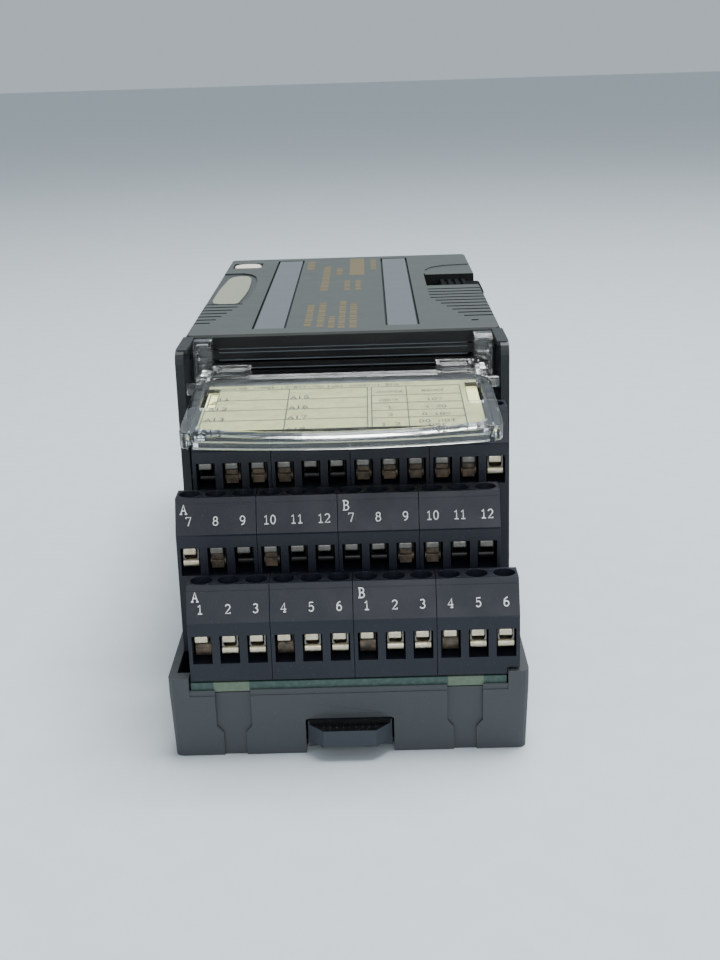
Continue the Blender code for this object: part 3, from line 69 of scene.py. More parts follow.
class Finish:
    """A Principled material whose colour, roughness and bump come from layers of procedural noise."""

    def __init__(self, name, colour, roughness, metallic=0.0, specular=0.5):
        self.material = bpy.data.materials.new(name)
        self.material.use_nodes = True
        self.tree = self.material.node_tree
        self.shader = self.tree.nodes["Principled BSDF"]
        self.colour = colour
        self.set("Base Color", colour)
        self.set("Roughness", roughness)
        self.set("Metallic", metallic)
        self.set("Specular IOR Level", specular)
        self.where = self.node("ShaderNodeTexCoord").outputs["Object"]

    def set(self, socket, value):
        self.shader.inputs[socket].default_value = value

    def node(self, kind, **settings):
        made = self.tree.nodes.new(kind)
        for key, value in settings.items():
            setattr(made, key, value)
        return made

    def link(self, start, end):
        self.tree.links.new(start, end)

    def noise(self, size, detail=3.0, low=0.35, high=0.65):
        """Noise with features about size across, as a value from 0 to 1."""
        texture = self.node("ShaderNodeTexNoise")
        texture.inputs["Scale"].default_value = 1 / size
        texture.inputs["Detail"].default_value = detail
        self.link(self.where, texture.inputs["Vector"])
        spread = self.node("ShaderNodeMapRange")
        spread.inputs["From Min"].default_value = low
        spread.inputs["From Max"].default_value = high
        self.link(texture.outputs["Fac"], spread.inputs["Value"])
        return spread.outputs["Result"]

    def tint(self, factor, colour, strength):
        """Blends the base colour towards another where factor is high."""
        mix = self.node("ShaderNodeMix", data_type="RGBA")
        scaled = self.node("ShaderNodeMath", operation="MULTIPLY")
        scaled.inputs[1].default_value = strength
        self.link(factor, scaled.inputs[0])
        self.link(scaled.outputs[0], mix.inputs["Factor"])
        current = self.shader.inputs["Base Color"]
        if current.is_linked:
            self.link(current.links[0].from_socket, mix.inputs["A"])
        else:
            mix.inputs["A"].default_value = self.colour
        mix.inputs["B"].default_value = colour
        self.link(mix.outputs["Result"], current)

    def vary_roughness(self, factor, low, high):
        spread = self.node("ShaderNodeMapRange")
        spread.inputs["To Min"].default_value = low
        spread.inputs["To Max"].default_value = high
        self.link(factor, spread.inputs["Value"])
        self.link(spread.outputs["Result"], self.shader.inputs["Roughness"])

    def bump(self, factor, height, strength=1.0):
        made = self.node("ShaderNodeBump")
        made.inputs["Distance"].default_value = height
        made.inputs["Strength"].default_value = strength
        self.link(factor, made.inputs["Height"])
        current = self.shader.inputs["Normal"]
        if current.is_linked:
            self.link(current.links[0].from_socket, made.inputs["Normal"])
        self.link(made.outputs["Normal"], current)


def plastic(name, colour, roughness, dust=0.05, grain=0.012 * MM, specular=0.3, dust_colour=None):
    """Moulded plastic: fine grain, broad mottling and thin dust."""
    made = Finish(name, colour, roughness, specular=specular)
    pale = dust_colour or srgb(150, 154, 156)
    made.tint(made.noise(9 * MM, 4.0), pale, dust * 0.12)
    made.tint(made.noise(0.5 * MM, 2.0, 0.66, 0.74), pale, dust)
    made.vary_roughness(made.noise(6 * MM, 4.0), roughness - 0.03, roughness + 0.04)
    made.bump(made.noise(0.35 * MM, 2.0, 0.3, 0.7), grain)
    return made.material


WARM_GREY = plastic("base_plastic", srgb(66, 69, 72), 0.5)
# A paler grey for rounded edges: a painted highlight along the edges.
HIGHLIGHT_GREY = plastic("base_edge_highlight", srgb(84, 90, 94), 0.45)
DARK_GREY = plastic("ear_plastic", srgb(33, 37, 39), 0.48)
SLATE = plastic("terminal_plastic", srgb(28, 31, 41), 0.42)
LATCH = plastic("latch_plastic", srgb(52, 56, 64), 0.42)
# A paler slate for the blocks' rounded edges: a painted highlight.
HIGHLIGHT_SLATE = plastic("terminal_edge_highlight", srgb(52, 58, 66), 0.4)
BLACK = plastic("housing_plastic", srgb(7, 9, 12), 0.36)
# Pale grey for the housing's rounded edges and the bars along its louvres: painted highlights.
HOUSING_HIGHLIGHT = plastic("housing_edge_highlight", srgb(112, 120, 128), 0.35)
LEVER = plastic("lever_plastic", srgb(4, 5, 6), 0.7, dust=0.0, specular=0.1)
COVER = plastic("cover_plastic", srgb(64, 69, 67), 0.45)
# Near black for the top of the latch's tab: painted shade and a painted dark reflection in place of the
# latch's grey.
TAB_TOP_SHADE = plastic("tab_top_shade", srgb(5, 6, 9), 0.22, dust=0.12)
# Dark grey for the faces in the cover's grooves and slots: painted shade.
GROOVE_SHADE = plastic("groove_shade", srgb(26, 29, 31), 0.6)
# A little darker than the cover, for the badge recess and the light's recess: painted shade.
RECESS_SHADE = plastic("recess_shade", srgb(58, 62, 64), 0.5)
STRIP = plastic("strip_plastic", srgb(85, 92, 97), 0.4)
CREAM = plastic("badge_plastic", srgb(134, 138, 122), 0.5)
LENS = plastic("lens_plastic", srgb(228, 222, 205), 0.3)
DIAL = plastic("dial_plastic", srgb(200, 200, 194), 0.5)
CARD = plastic("card_paper", srgb(255, 255, 186), 0.75, dust=0.03, dust_colour=srgb(190, 180, 140))
WHITE_INK = plastic("white_ink", srgb(236, 238, 236), 0.55, dust=0.08, dust_colour=srgb(120, 122, 125))
DARK_INK = plastic("card_ink", srgb(40, 44, 56), 0.7, dust=0.1)
TAN_INK = plastic("cover_ink", srgb(96, 87, 62), 0.6, dust=0.5, dust_colour=srgb(86, 90, 90))


NOTCH_MIDDLE = 21.7 * MM
NOTCH_HALF = 3.3 * MM


def snapped_off(made):
    """A value of 1 on the board where it shows in the base's two front notches."""
    parts = made.node("ShaderNodeSeparateXYZ")
    made.link(made.where, parts.inputs[0])
    away = made.node("ShaderNodeMath", operation="ABSOLUTE")
    made.link(parts.outputs["X"], away.inputs[0])
    near = made.node("ShaderNodeMath", operation="COMPARE")
    near.inputs[1].default_value = NOTCH_MIDDLE
    near.inputs[2].default_value = NOTCH_HALF
    made.link(away.outputs[0], near.inputs[0])
    return near.outputs[0]


def board_mask(name, colour, patch, patchy):
    """Green solder mask, patchy where the board was snapped from its panel."""
    made = Finish(name, colour, 0.4, specular=0.35)
    made.tint(made.noise(0.9 * MM, 5.0, 0.45, 0.65), patch, patchy)
    made.tint(snapped_off(made), srgb(140, 150, 120), 0.32)
    made.bump(made.noise(0.4 * MM), 0.01 * MM)
    return made.material


GREEN = board_mask("board_mask", srgb(52, 74, 70), srgb(78, 98, 88), 0.5)
# Pale green for the board's rounded edges: a painted highlight along its edge.
GREEN_HIGHLIGHT = board_mask("board_edge_highlight", srgb(132, 190, 168), srgb(150, 190, 160), 0.5)


def metal(name, colour, stain, roughness, stained=0.35, metallic=1.0):
    made = Finish(name, colour, roughness, metallic=metallic)
    made.tint(made.noise(1.2 * MM, 3.0), stain, stained)
    made.vary_roughness(made.noise(0.8 * MM), roughness - 0.08, roughness + 0.15)
    made.bump(made.noise(0.3 * MM), 0.01 * MM)
    return made.material


NICKEL = metal("clamp_nickel", srgb(206, 198, 176), srgb(160, 140, 112), 0.4)
# A darker copy of the nickel: painted shade for bars and cage sides down in shaded windows.
SHADED_NICKEL = metal("shaded_nickel", srgb(124, 123, 119), srgb(84, 80, 74), 0.4, 0.4, 0.75)
BROWN = metal("stained_brass", srgb(104, 91, 76), srgb(44, 41, 38), 0.45, 0.75, 0.4)
STEEL = metal("spring_steel", srgb(175, 176, 178), srgb(110, 105, 98), 0.3)


def clear_plastic():
    """Clear moulding with fine scratches that dull its gloss."""
    made = Finish("clear_plastic", srgb(246, 249, 248), 0.06)
    made.set("Transmission Weight", 1.0)
    made.set("IOR", 1.49)
    made.vary_roughness(made.noise(2.5 * MM, 5.0), 0.03, 0.16)
    made.bump(made.noise(4 * MM, 2.0), 0.004 * MM)
    return made.material


CLEAR = clear_plastic()

FINISHES = {
    "carrier_base": WARM_GREY,
    "carrier_deck": WARM_GREY,
    "left_ear": DARK_GREY,
    "right_ear": DARK_GREY,
    "terminal_board": GREEN,
    "board_screw_left": STEEL,
    "board_screw_right": STEEL,
    "rail_clip": STEEL,
    "carrier_socket": BLACK,
    "left_link_port": BLACK,
    "right_link_port": BLACK,
    "rail_latch": LATCH,
    "keying_dial_left": DIAL,
    "keying_dial_right": DIAL,
    "module_housing": BLACK,
    "module_board": GREEN,
    "module_plug": BLACK,
    "isolation_converter": BLACK,
    "processor_chip": BLACK,
    "filter_capacitor": SLATE,
    "release_lever": LEVER,
}
REPLACED = (
    "terminal_block",
    "clamp_set",
    "module_cover",
    "badge_insert",
    "indicator_lens",
    "card_holder",
    "wiring_card",
    "latch_spring",
)
# Paler finishes on the rounded edges of these nodes: painted highlights along the edges.
EDGES = {
    "carrier_base": HIGHLIGHT_GREY,
    "carrier_deck": HIGHLIGHT_GREY,
    "left_ear": HIGHLIGHT_GREY,
    "right_ear": HIGHLIGHT_GREY,
    "terminal_board": GREEN_HIGHLIGHT,
    "module_housing": HOUSING_HIGHLIGHT,
}
EDGE_WIDTH = 0.15 * MM
SHARP = math.radians(30)


def soften(node, edge):
    """Merges flat triangles and rounds the edges a little, in another finish if one is given: a paler
    finish there is a painted highlight along the edges.
    """
    clean = node.modifiers.new("clean", "DECIMATE")
    clean.decimate_type = "DISSOLVE"
    clean.angle_limit = math.radians(0.5)
    bevel = node.modifiers.new("bevel", "BEVEL")
    bevel.width = EDGE_WIDTH
    bevel.segments = 2
    bevel.limit_method = "ANGLE"
    bevel.angle_limit = SHARP
    if edge:
        node.data.materials.append(edge)
        bevel.material = 1


def carried_over():
    """The CAD nodes that stay: a finish each, and softer edges."""
    for name, node in NODES.items():
        if name.startswith(REPLACED):
            continue
        node.data.materials.clear()
        node.data.materials.append(FINISHES[name])
        soften(node, EDGES.get(name))


# Shapes, in millimetres from the middle of the base's lower front edge

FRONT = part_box("carrier_base")[0][1]
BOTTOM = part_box("carrier_base")[0][2]
TO_FRAME = Matrix.Translation((0, FRONT, BOTTOM)) @ Matrix.Scale(MM, 4)
ALONG_X = Matrix(((0, 0, 1, 0), (1, 0, 0, 0), (0, 1, 0, 0), (0, 0, 0, 1)))
ALONG_Y = Matrix(((1, 0, 0, 0), (0, 0, -1, 0), (0, 1, 0, 0), (0, 0, 0, 1)))
PAST = 2.0


def frame_box(node):
    """The node's box in millimetres, in the shapes' own coordinates."""
    inverse = TO_FRAME.inverted()
    return [inverse @ Vector(corner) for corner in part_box(node)]


def mesh_of(build):
    work = bmesh.new()
    build(work)
    bmesh.ops.recalc_face_normals(work, faces=work.faces)
    mesh = bpy.data.meshes.new("shape")
    work.to_mesh(mesh)
    work.free()
    return mesh


def add_box(work, x, y, z):
    made = bmesh.ops.create_cube(work, size=1.0)["verts"]
    bmesh.ops.scale(work, vec=(x[1] - x[0], y[1] - y[0], z[1] - z[0]), verts=made)
    bmesh.ops.translate(work, vec=((x[0] + x[1]) / 2, (y[0] + y[1]) / 2, (z[0] + z[1]) / 2), verts=made)
    return made


def boxes(*ranges):
    def build(work):
        for x, y, z in ranges:
            add_box(work, x, y, z)

    return mesh_of(build)


def add_rod(work, radius, start, end, sides=24):
    start = Vector(start)
    run = Vector(end) - start
    turn = Vector((0, 0, 1)).rotation_difference(run).to_matrix().to_4x4()
    bmesh.ops.create_cone(
        work,
        cap_ends=True,
        segments=sides,
        radius1=radius,
        radius2=radius,
        depth=run.length,
        matrix=Matrix.Translation(start + run / 2) @ turn,
    )


def rods(*wanted, sides=24):
    def build(work):
        for radius, start, end in wanted:
            add_rod(work, radius, start, end, sides)

    return mesh_of(build)


def extruded(outline, low, high, along=None):
    """A flat outline made solid from low to high. An outline along X is (y, z), along Y (x, z)."""

    def build(work):
        ends = [[work.verts.new((a, b, level)) for a, b in outline] for level in (low, high)]
        work.faces.new(ends[0])
        work.faces.new(ends[1])
        for index in range(len(outline)):
            after = (index + 1) % len(outline)
            work.faces.new((ends[0][index], ends[0][after], ends[1][after], ends[1][index]))

    mesh = mesh_of(build)
    if along is ALONG_Y:
        mesh.transform(Matrix.Scale(-1, 4, (0, 0, 1)))
        mesh.flip_normals()
    if along:
        mesh.transform(along)
    return mesh


def arc(middle, radius, start, end, steps=6):
    """Points on an ellipse from one angle to another, in degrees."""
    across, up = radius if isinstance(radius, tuple) else (radius, radius)
    points = []
    for step in range(steps + 1):
        angle = math.radians(start + (end - start) * step / steps)
        points.append((middle[0] + across * math.cos(angle), middle[1] + up * math.sin(angle)))
    return points


def helper(mesh):
    made = bpy.data.objects.new("helper", mesh)
    bpy.context.scene.collection.objects.link(made)
    return made


def shaped(mesh, cuts=(), joins=(), bevel=0.0, segments=2, edge_index=-1):
    """The mesh with others cut from it and joined to it, then its edges rounded."""
    for _ in range(edge_index + 1):
        mesh.materials.append(None)
    target = helper(mesh)
    tools = [("DIFFERENCE", cutter) for cutter in cuts] + [("UNION", more) for more in joins]
    helpers = [target]
    for operation, tool in tools:
        helpers.append(helper(tool))
        step = target.modifiers.new("boolean", "BOOLEAN")
        step.operation = operation
        step.solver = "EXACT"
        step.object = helpers[-1]
    if bevel:
        step = target.modifiers.new("bevel", "BEVEL")
        step.width = bevel
        step.segments = segments
        step.limit_method = "ANGLE"
        step.angle_limit = SHARP
        step.material = edge_index
    graph = bpy.context.evaluated_depsgraph_get()
    made = bpy.data.meshes.new_from_object(target.evaluated_get(graph))
    for used in helpers:
        bpy.data.objects.remove(used)
    return made


def recoloured(mesh, index, wanted):
    """Gives a material index to the faces whose centre is wanted."""
    for face in mesh.polygons:
        if wanted(face.center):
            face.material_index = index
    return mesh


def merged(*meshes):
    """Several meshes as one. An index beside a mesh is its material, and None keeps what it has."""
    work = bmesh.new()
    for index, mesh in meshes:
        before = len(work.faces)
        work.from_mesh(mesh)
        work.faces.ensure_lookup_table()
        if index is not None:
            for face in work.faces[before:]:
                face.material_index = index
    made = bpy.data.meshes.new("merged")
    work.to_mesh(made)
    work.free()
    return made


def piece(name, mesh, finishes, body, nodes=()):
    """Puts a mesh in the frame, riding on a body and standing for the CAD nodes named."""
    mesh.transform(TO_FRAME)
    indices = [face.material_index for face in mesh.polygons]
    mesh.materials.clear()
    for finish in finishes if isinstance(finishes, (list, tuple)) else (finishes,):
        mesh.materials.append(finish)
    mesh.polygons.foreach_set("material_index", indices)
    made = bpy.data.objects.new(name, mesh)
    bpy.context.scene.collection.objects.link(made)
    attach(made, body)
    if nodes:
        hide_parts(*nodes)
    return made


# Rail latch


RIDGES = 9
RIDGE_PITCH = 1.2
RIDGE_HALF = 0.17
RIDGE_RUN = (-1.9, -0.3)
RIDGE_RISE = 0.22
TAB_SKIN = 0.1
TAB_ROOT = 1.0


def latch_grip():
    """A near-black top on the latch's tab, painted shade and a painted dark reflection, and a row of small
    ridges there.
    """
    latch = NODES["rail_latch"]
    latch.data.materials.append(TAB_TOP_SHADE)
    to_shapes = TO_FRAME.inverted() @ latch.matrix_world
    corners = [to_shapes @ vertex.co for vertex in latch.data.vertices]
    top = max(corner.z for corner in corners if corner.y < 0)
    for face in latch.data.polygons:
        centre = to_shapes @ face.center
        # The tab's top faces get the near black of painted shade.
        if centre.y < TAB_ROOT and centre.z > top - TAB_SKIN:
            face.material_index = 1
    middles = [(number - (RIDGES - 1) / 2) * RIDGE_PITCH for number in range(RIDGES)]
    z = (top - TAB_SKIN, top + RIDGE_RISE)
    ridges = [((x - RIDGE_HALF, x + RIDGE_HALF), RIDGE_RUN, z) for x in middles]
    piece("latch_ridges", shaped(boxes(*ridges), bevel=0.06), TAB_TOP_SHADE, "rail_latch")


def latch_coil():
    """The latch spring, riding on the carrier, which holds its front end."""
    node = NODES["latch_spring"]
    mesh = node.data.copy()
    mesh.transform(node.matrix_world)
    mesh.materials.clear()
    mesh.materials.append(STEEL)
    coil = bpy.data.objects.new("coil", mesh)
    bpy.context.scene.collection.objects.link(coil)
    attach(coil, "carrier")
    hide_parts("latch_spring")
    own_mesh(coil)


# Terminal blocks

PITCH = 5.08
POLES = 3
ROWS = 3
BLOCKS_PER_ROW = 4
VISIBLE_SEAM = 0.12
SEAM = 0.3
PLATE_RISE = 6.4
PLATE_LEAN = 2.41
PLATE_LIP = 0.12
PLATE_LENGTH = math.hypot(PLATE_LEAN, PLATE_RISE)
PLATE_UP = Vector((0, PLATE_LEAN, PLATE_RISE)) / PLATE_LENGTH
PLATE_OUT = Vector((0, -PLATE_RISE, PLATE_LEAN)) / PLATE_LENGTH
TOP_DEPTH = 5.05
WINDOW_WIDTH = 3.63
WINDOW_LOW = 8.25
WINDOW_HIGH = 2.75
WINDOW_DEPTH = 8.4
WELL_RADIUS = 2.05
GROOVE_DROP = 1.0
GROOVE_WIDTH = 0.2
GROOVE_DEPTH = 0.12
BACK_DROP = 5.0
BACK_SLOPE = 1.5
NOTCH_WIDTH = 2.3
NOTCH_CLEAR = 0.5


def row_box(row):
    return frame_box(f"terminal_block_{row + 1}_1")


def row_front(row):
    return row_box(row)[0].y


def row_foot(row):
    """Height of the number plate's lower edge."""
    return row_box(row)[1].z - PLATE_RISE


def pole_xs(middle=0.0):
    return [middle + (pole - (POLES - 1) / 2) * PITCH for pole in range(POLES)]


def block_middles(row):
    found = []
    for number in range(BLOCKS_PER_ROW):
        low, high = frame_box(f"terminal_block_{row + 1}_{number + 1}")
        found.append((low.x + high.x) / 2)
    return found


def block_mesh(row, notched_side):
    """A three-pole block: leaning plate with a groove near its top, wire windows and screw wells."""
    low, high = row_box(row)
    front, foot, top = low.y, row_foot(row), high.z
    edge = front + PLATE_LEAN
    groove = Vector((0, edge, top)) - PLATE_UP * GROOVE_DROP
    inner = groove - PLATE_OUT * GROOVE_DEPTH
    lower = PLATE_UP * GROOVE_WIDTH
    profile = [(front, low.z), (front, foot - 0.5), (front - PLATE_LIP, foot - 0.1)]
    profile += [((groove - lower).y, (groove - lower).z), ((inner - lower).y, (inner - lower).z)]
    profile += [(inner.y, inner.z), (groove.y, groove.z), (edge, top), (edge + TOP_DEPTH, top)]
    back = top - BACK_DROP
    profile += [(edge + TOP_DEPTH, back), (high.y, back - BACK_SLOPE), (high.y, low.z)]
    half = (POLES * PITCH - VISIBLE_SEAM) / 2
    across = WINDOW_WIDTH / 2
    window_z = (foot - WINDOW_LOW, foot - WINDOW_HIGH)
    window_y = (front - PAST, front + WINDOW_DEPTH)
    windows = boxes(*[((x - across, x + across), window_y, window_z) for x in pole_xs()])
    y = edge + TOP_DEPTH / 2
    well_z = (window_z[1] - 0.4, top + PAST)
    wells = [(WELL_RADIUS, (x, y, well_z[0]), (x, y, well_z[1])) for x in pole_xs()]
    wells = rods(*wells, sides=28)
    cuts = [windows, wells]
    if notched_side:
        base_top = frame_box("carrier_base")[1].z
        notch_x = sorted((notched_side * (half - NOTCH_WIDTH), notched_side * (half + PAST)))
        notch_z = (low.z - PAST, base_top + NOTCH_CLEAR)
        cuts.append(boxes((notch_x, (front - PAST, high.y + PAST), notch_z)))
    return shaped(extruded(profile, -half, half, ALONG_X), cuts, bevel=0.11, edge_index=1)


def terminal_blocks():
    for row in range(ROWS):
        side = -1 if row == 1 else 1
        plain, notched = block_mesh(row, 0), block_mesh(row, side)
        last = 0 if side < 0 else BLOCKS_PER_ROW - 1
        for number, middle in enumerate(block_middles(row)):
            mesh = (notched if number == last else plain).copy()
            mesh.transform(Matrix.Translation((middle, 0, 0)))
            name = f"{row + 1}_{number + 1}"
            # The blocks' rounded edges take the paler slate, a painted highlight.
            piece(f"block_{name}", mesh, (SLATE, HIGHLIGHT_SLATE), "carrier", [f"terminal_block_{name}"])


# Box clamps: b is bright, m is stained, d is stained and lies deep, k is nearly black, its cage black as
# painted shade

CLAMPS = ("dbbdbbdbbdbb", "bmkmkkkkmmkk", "kmmmkkmmmmmb")
CAGE_HALF = 1.5
CAGE_WALL = 0.26
CAGE_ROUND = 0.5
CAGE_END = 4.4
BAR_X = (-1.4, 1.15)
BAR_Y = (0.3, 4.8)
BAR_Z = (-1.45, -0.05)
HEAD_RADIUS = 1.7
HEAD_THICKNESS = 1.8
HEAD_SUNK = 3.0
SHANK_RADIUS = 1.2
SLOT_HALF = 0.22
SLOT_DEPTH = 0.8
PLATE_X = (-1.25, 1.1)
PLATE_Y = (-0.3, 0.4)
PLATE_SPLIT = 1.5
CLAMP_KINDS = {
    "b": {"back": 0.7, "lift": 1.5, "lip": 1.55, "cage": 0, "bar": 0},
    "m": {"back": 1.4, "lift": 1.3, "lip": 1.7, "cage": 1, "bar": 2},
    "d": {"back": 2.2, "lift": 0.6, "lip": 2.6, "cage": 1, "bar": 0},
    "k": {"back": 2.6, "lift": 0.8, "lip": 1.7, "cage": 3, "bar": 2},
}


def cage_outline(x, low, lip, top):
    """A U with round inner corners."""
    inner = CAGE_HALF - CAGE_WALL
    left = arc((x - inner + CAGE_ROUND, lip + CAGE_ROUND), CAGE_ROUND, 180, 270, 4)
    right = arc((x + inner - CAGE_ROUND, lip + CAGE_ROUND), CAGE_ROUND, 270, 360, 4)
    points = [(x - CAGE_HALF, top), (x - CAGE_HALF, low), (x + CAGE_HALF, low), (x + CAGE_HALF, top)]
    return points + [(x + inner, top)] + list(reversed(right)) + list(reversed(left)) + [(x - inner, top)]


def rolled_lip(x, front, low, high):
    """The clamp's rounded lower lip, drawn as its side outline."""
    across, up = 0.7, (high - low) / 2
    outline = arc((front + across, low + up), (across, up), 90, 270, 10)
    outline += [(front + CAGE_END, low), (front + CAGE_END, high)]
    return extruded(outline, x - CAGE_HALF, x + CAGE_HALF, ALONG_X)


def clamp(kind, x, row):
    """Meshes of one clamp with their material indices: 0 nickel, 1 stained, 2 darker nickel as painted
    shade, 3 black as painted shade, 4 steel.
    """
    look = CLAMP_KINDS[kind]
    front, foot = row_front(row), row_foot(row)
    window_top = foot - WINDOW_HIGH
    low = foot - WINDOW_LOW + look["lift"]
    lip = low + look["lip"]
    start = front + look["back"]
    sides = cage_outline(x, lip - 0.6, lip - 0.05, window_top - 0.1)
    sides = extruded(sides, start + 0.5, start + CAGE_END, ALONG_Y)
    bar_x = (x + BAR_X[0], x + BAR_X[1])
    bar_y = (front + BAR_Y[0], front + BAR_Y[1])
    bar_z = (window_top + BAR_Z[0], window_top + BAR_Z[1])
    bar = shaped(boxes((bar_x, bar_y, bar_z)), bevel=0.3, segments=3)
    y = front + PLATE_LEAN + TOP_DEPTH / 2
    head_top = foot + PLATE_RISE - HEAD_SUNK
    head_foot = head_top - HEAD_THICKNESS
    head = rods(
        (HEAD_RADIUS, (x, y, head_foot), (x, y, head_top)),
        (SHANK_RADIUS, (x, y, bar_z[1]), (x, y, head_foot + 0.1)),
    )
    slot_z = (head_top - SLOT_DEPTH, head_top + PAST)
    screw = shaped(head, [boxes(((x - SLOT_HALF, x + SLOT_HALF), (y - 3, y + 3), slot_z))], bevel=0.08)
    rolled = shaped(rolled_lip(x, start, low, lip), bevel=0.06)
    parts = [(look["cage"], rolled), (look["bar"], bar), (4, screw)]
    if kind == "m":
        split = low + PLATE_SPLIT
        plates = [(low - 0.2, split - 0.15), (split + 0.15, bar_z[0] - 0.2)]
        plate_x = (x + PLATE_X[0], x + PLATE_X[1])
        plate_y = (start + PLATE_Y[0], start + PLATE_Y[1])
        plates = boxes(*[(plate_x, plate_y, z) for z in plates])
        parts.append((1, shaped(plates, bevel=0.08)))
    # Cage sides of all but bright clamps in black: painted shade.
    return parts + [(2 if look["cage"] == 0 else 3, sides)]


def clamps():
    for row, kinds in enumerate(CLAMPS):
        for number, middle in enumerate(block_middles(row)):
            parts = []
            for pole, x in enumerate(pole_xs(middle)):
                parts += clamp(kinds[number * POLES + pole], x, row)
            name = f"{row + 1}_{number + 1}"
            finishes = (NICKEL, BROWN, SHADED_NICKEL, BLACK, STEEL)
            piece(f"clamps_{name}", merged(*parts), finishes, "carrier", [f"clamp_set_{name}"])


# Printed numbers: slab-serif strokes in a box one unit high

GLYPHS = {
    "1": [[(0.1, 0.78), (0.32, 1.0), (0.32, 0.0)], [(0.08, 0.0), (0.56, 0.0)]],
    "2": [arc((0.31, 0.72), (0.26, 0.28), 165, -35, 8) + [(0.06, 0.0), (0.58, 0.0), (0.58, 0.14)]],
    "3": [arc((0.29, 0.76), (0.24, 0.24), 150, -90, 8), arc((0.29, 0.27), (0.28, 0.27), 90, -155, 9)],
    "4": [[(0.46, 0.0), (0.46, 1.0), (0.02, 0.3), (0.64, 0.3)], [(0.3, 0.0), (0.62, 0.0)]],
    "5": [[(0.55, 1.0), (0.13, 1.0), (0.1, 0.52)] + arc((0.3, 0.32), (0.28, 0.32), 125, -150, 9)],
    "6": [arc((0.52, 0.5), (0.44, 0.5), 95, 180, 6), arc((0.33, 0.3), (0.26, 0.3), 0, 360, 14)],
    "7": [[(0.04, 0.84), (0.04, 1.0), (0.6, 1.0), (0.26, 0.0)]],
    "8": [arc((0.31, 0.76), (0.22, 0.24), 0, 360, 12), arc((0.31, 0.27), (0.27, 0.27), 0, 360, 14)],
    "9": [arc((0.31, 0.7), (0.26, 0.3), 0, 360, 14), arc((0.13, 0.5), (0.44, 0.5), -85, 0, 6)],
    "0": [arc((0.31, 0.5), (0.26, 0.5), 0, 360, 16)],
    "A": [
        [(0.06, 0.0), (0.34, 1.0), (0.62, 0.0)],
        [(0.16, 0.36), (0.52, 0.36)],
        [(-0.06, 0.0), (0.2, 0.0)],
        [(0.48, 0.0), (0.74, 0.0)],
    ],
    "I": [[(0.3, 0.0), (0.3, 1.0)]],
    "J": [[(0.5, 1.0), (0.5, 0.25)] + arc((0.29, 0.25), (0.21, 0.25), 0, -170, 6)],
    "N": [[(0.08, 0.0), (0.08, 1.0), (0.54, 0.0), (0.54, 1.0)]],
    "L": [[(0.1, 1.0), (0.1, 0.0), (0.54, 0.0)]],
    "O": [arc((0.31, 0.5), (0.26, 0.5), 0, 360, 12)],
    "G": [arc((0.31, 0.5), (0.26, 0.5), 50, 360, 10) + [(0.36, 0.5)]],
    "P": [[(0.1, 0.0), (0.1, 1.0)] + arc((0.3, 0.74), (0.24, 0.26), 90, -90, 6) + [(0.1, 0.48)]],
    "U": [[(0.08, 1.0)] + arc((0.31, 0.25), (0.23, 0.25), 180, 360, 6) + [(0.54, 1.0)]],
    "T": [[(0.04, 1.0), (0.58, 1.0)], [(0.31, 1.0), (0.31, 0.0)]],
    "V": [[(0.06, 1.0), (0.31, 0.0), (0.56, 1.0)]],
    "E": [[(0.54, 1.0), (0.1, 1.0), (0.1, 0.0), (0.54, 0.0)], [(0.1, 0.52), (0.46, 0.52)]],
    "R": [
        [(0.1, 0.0), (0.1, 1.0)] + arc((0.3, 0.74), (0.24, 0.26), 90, -90, 6) + [(0.1, 0.48)],
        [(0.3, 0.48), (0.56, 0.0)],
    ],
    "M": [[(0.06, 0.0), (0.06, 1.0), (0.31, 0.4), (0.56, 1.0), (0.56, 0.0)]],
    "S": [arc((0.31, 0.75), (0.24, 0.25), 30, 270, 8) + arc((0.31, 0.25), (0.26, 0.25), 90, -150, 8)],
    "D": [[(0.1, 0.0), (0.1, 1.0)] + arc((0.24, 0.5), (0.32, 0.5), 90, -90, 8) + [(0.1, 0.0)]],
    "C": [arc((0.33, 0.5), (0.26, 0.5), 50, 310, 10)],
    "H": [[(0.08, 0.0), (0.08, 1.0)], [(0.54, 0.0), (0.54, 1.0)], [(0.08, 0.52), (0.54, 0.52)]],
    "-": [[(0.12, 0.5), (0.5, 0.5)]],
    " ": [],
    "B": [
        [(0.14, 0.0), (0.14, 1.0)],
        [(0.0, 1.0), (0.34, 1.0)] + arc((0.34, 0.76), (0.22, 0.24), 90, -90, 6) + [(0.14, 0.52)],
        [(0.34, 0.52)] + arc((0.34, 0.26), (0.28, 0.26), 90, -90, 6) + [(0.0, 0.0)],
    ],
}
GLYPH_ADVANCE = 0.78
GLYPH_WIDTH = 0.62
NUMBER_STROKE = 0.145
CARD_STROKE = 0.18
INK_RELIEF = 0.15
NUMBER_HEIGHT = 1.6
NUMBER_MIDDLE = 2.45
LETTER_HEIGHT = 1.75
LETTER_MIDDLE = 4.75
LETTER_SHIFT = 0.95
POLES_PER_GROUP = 6


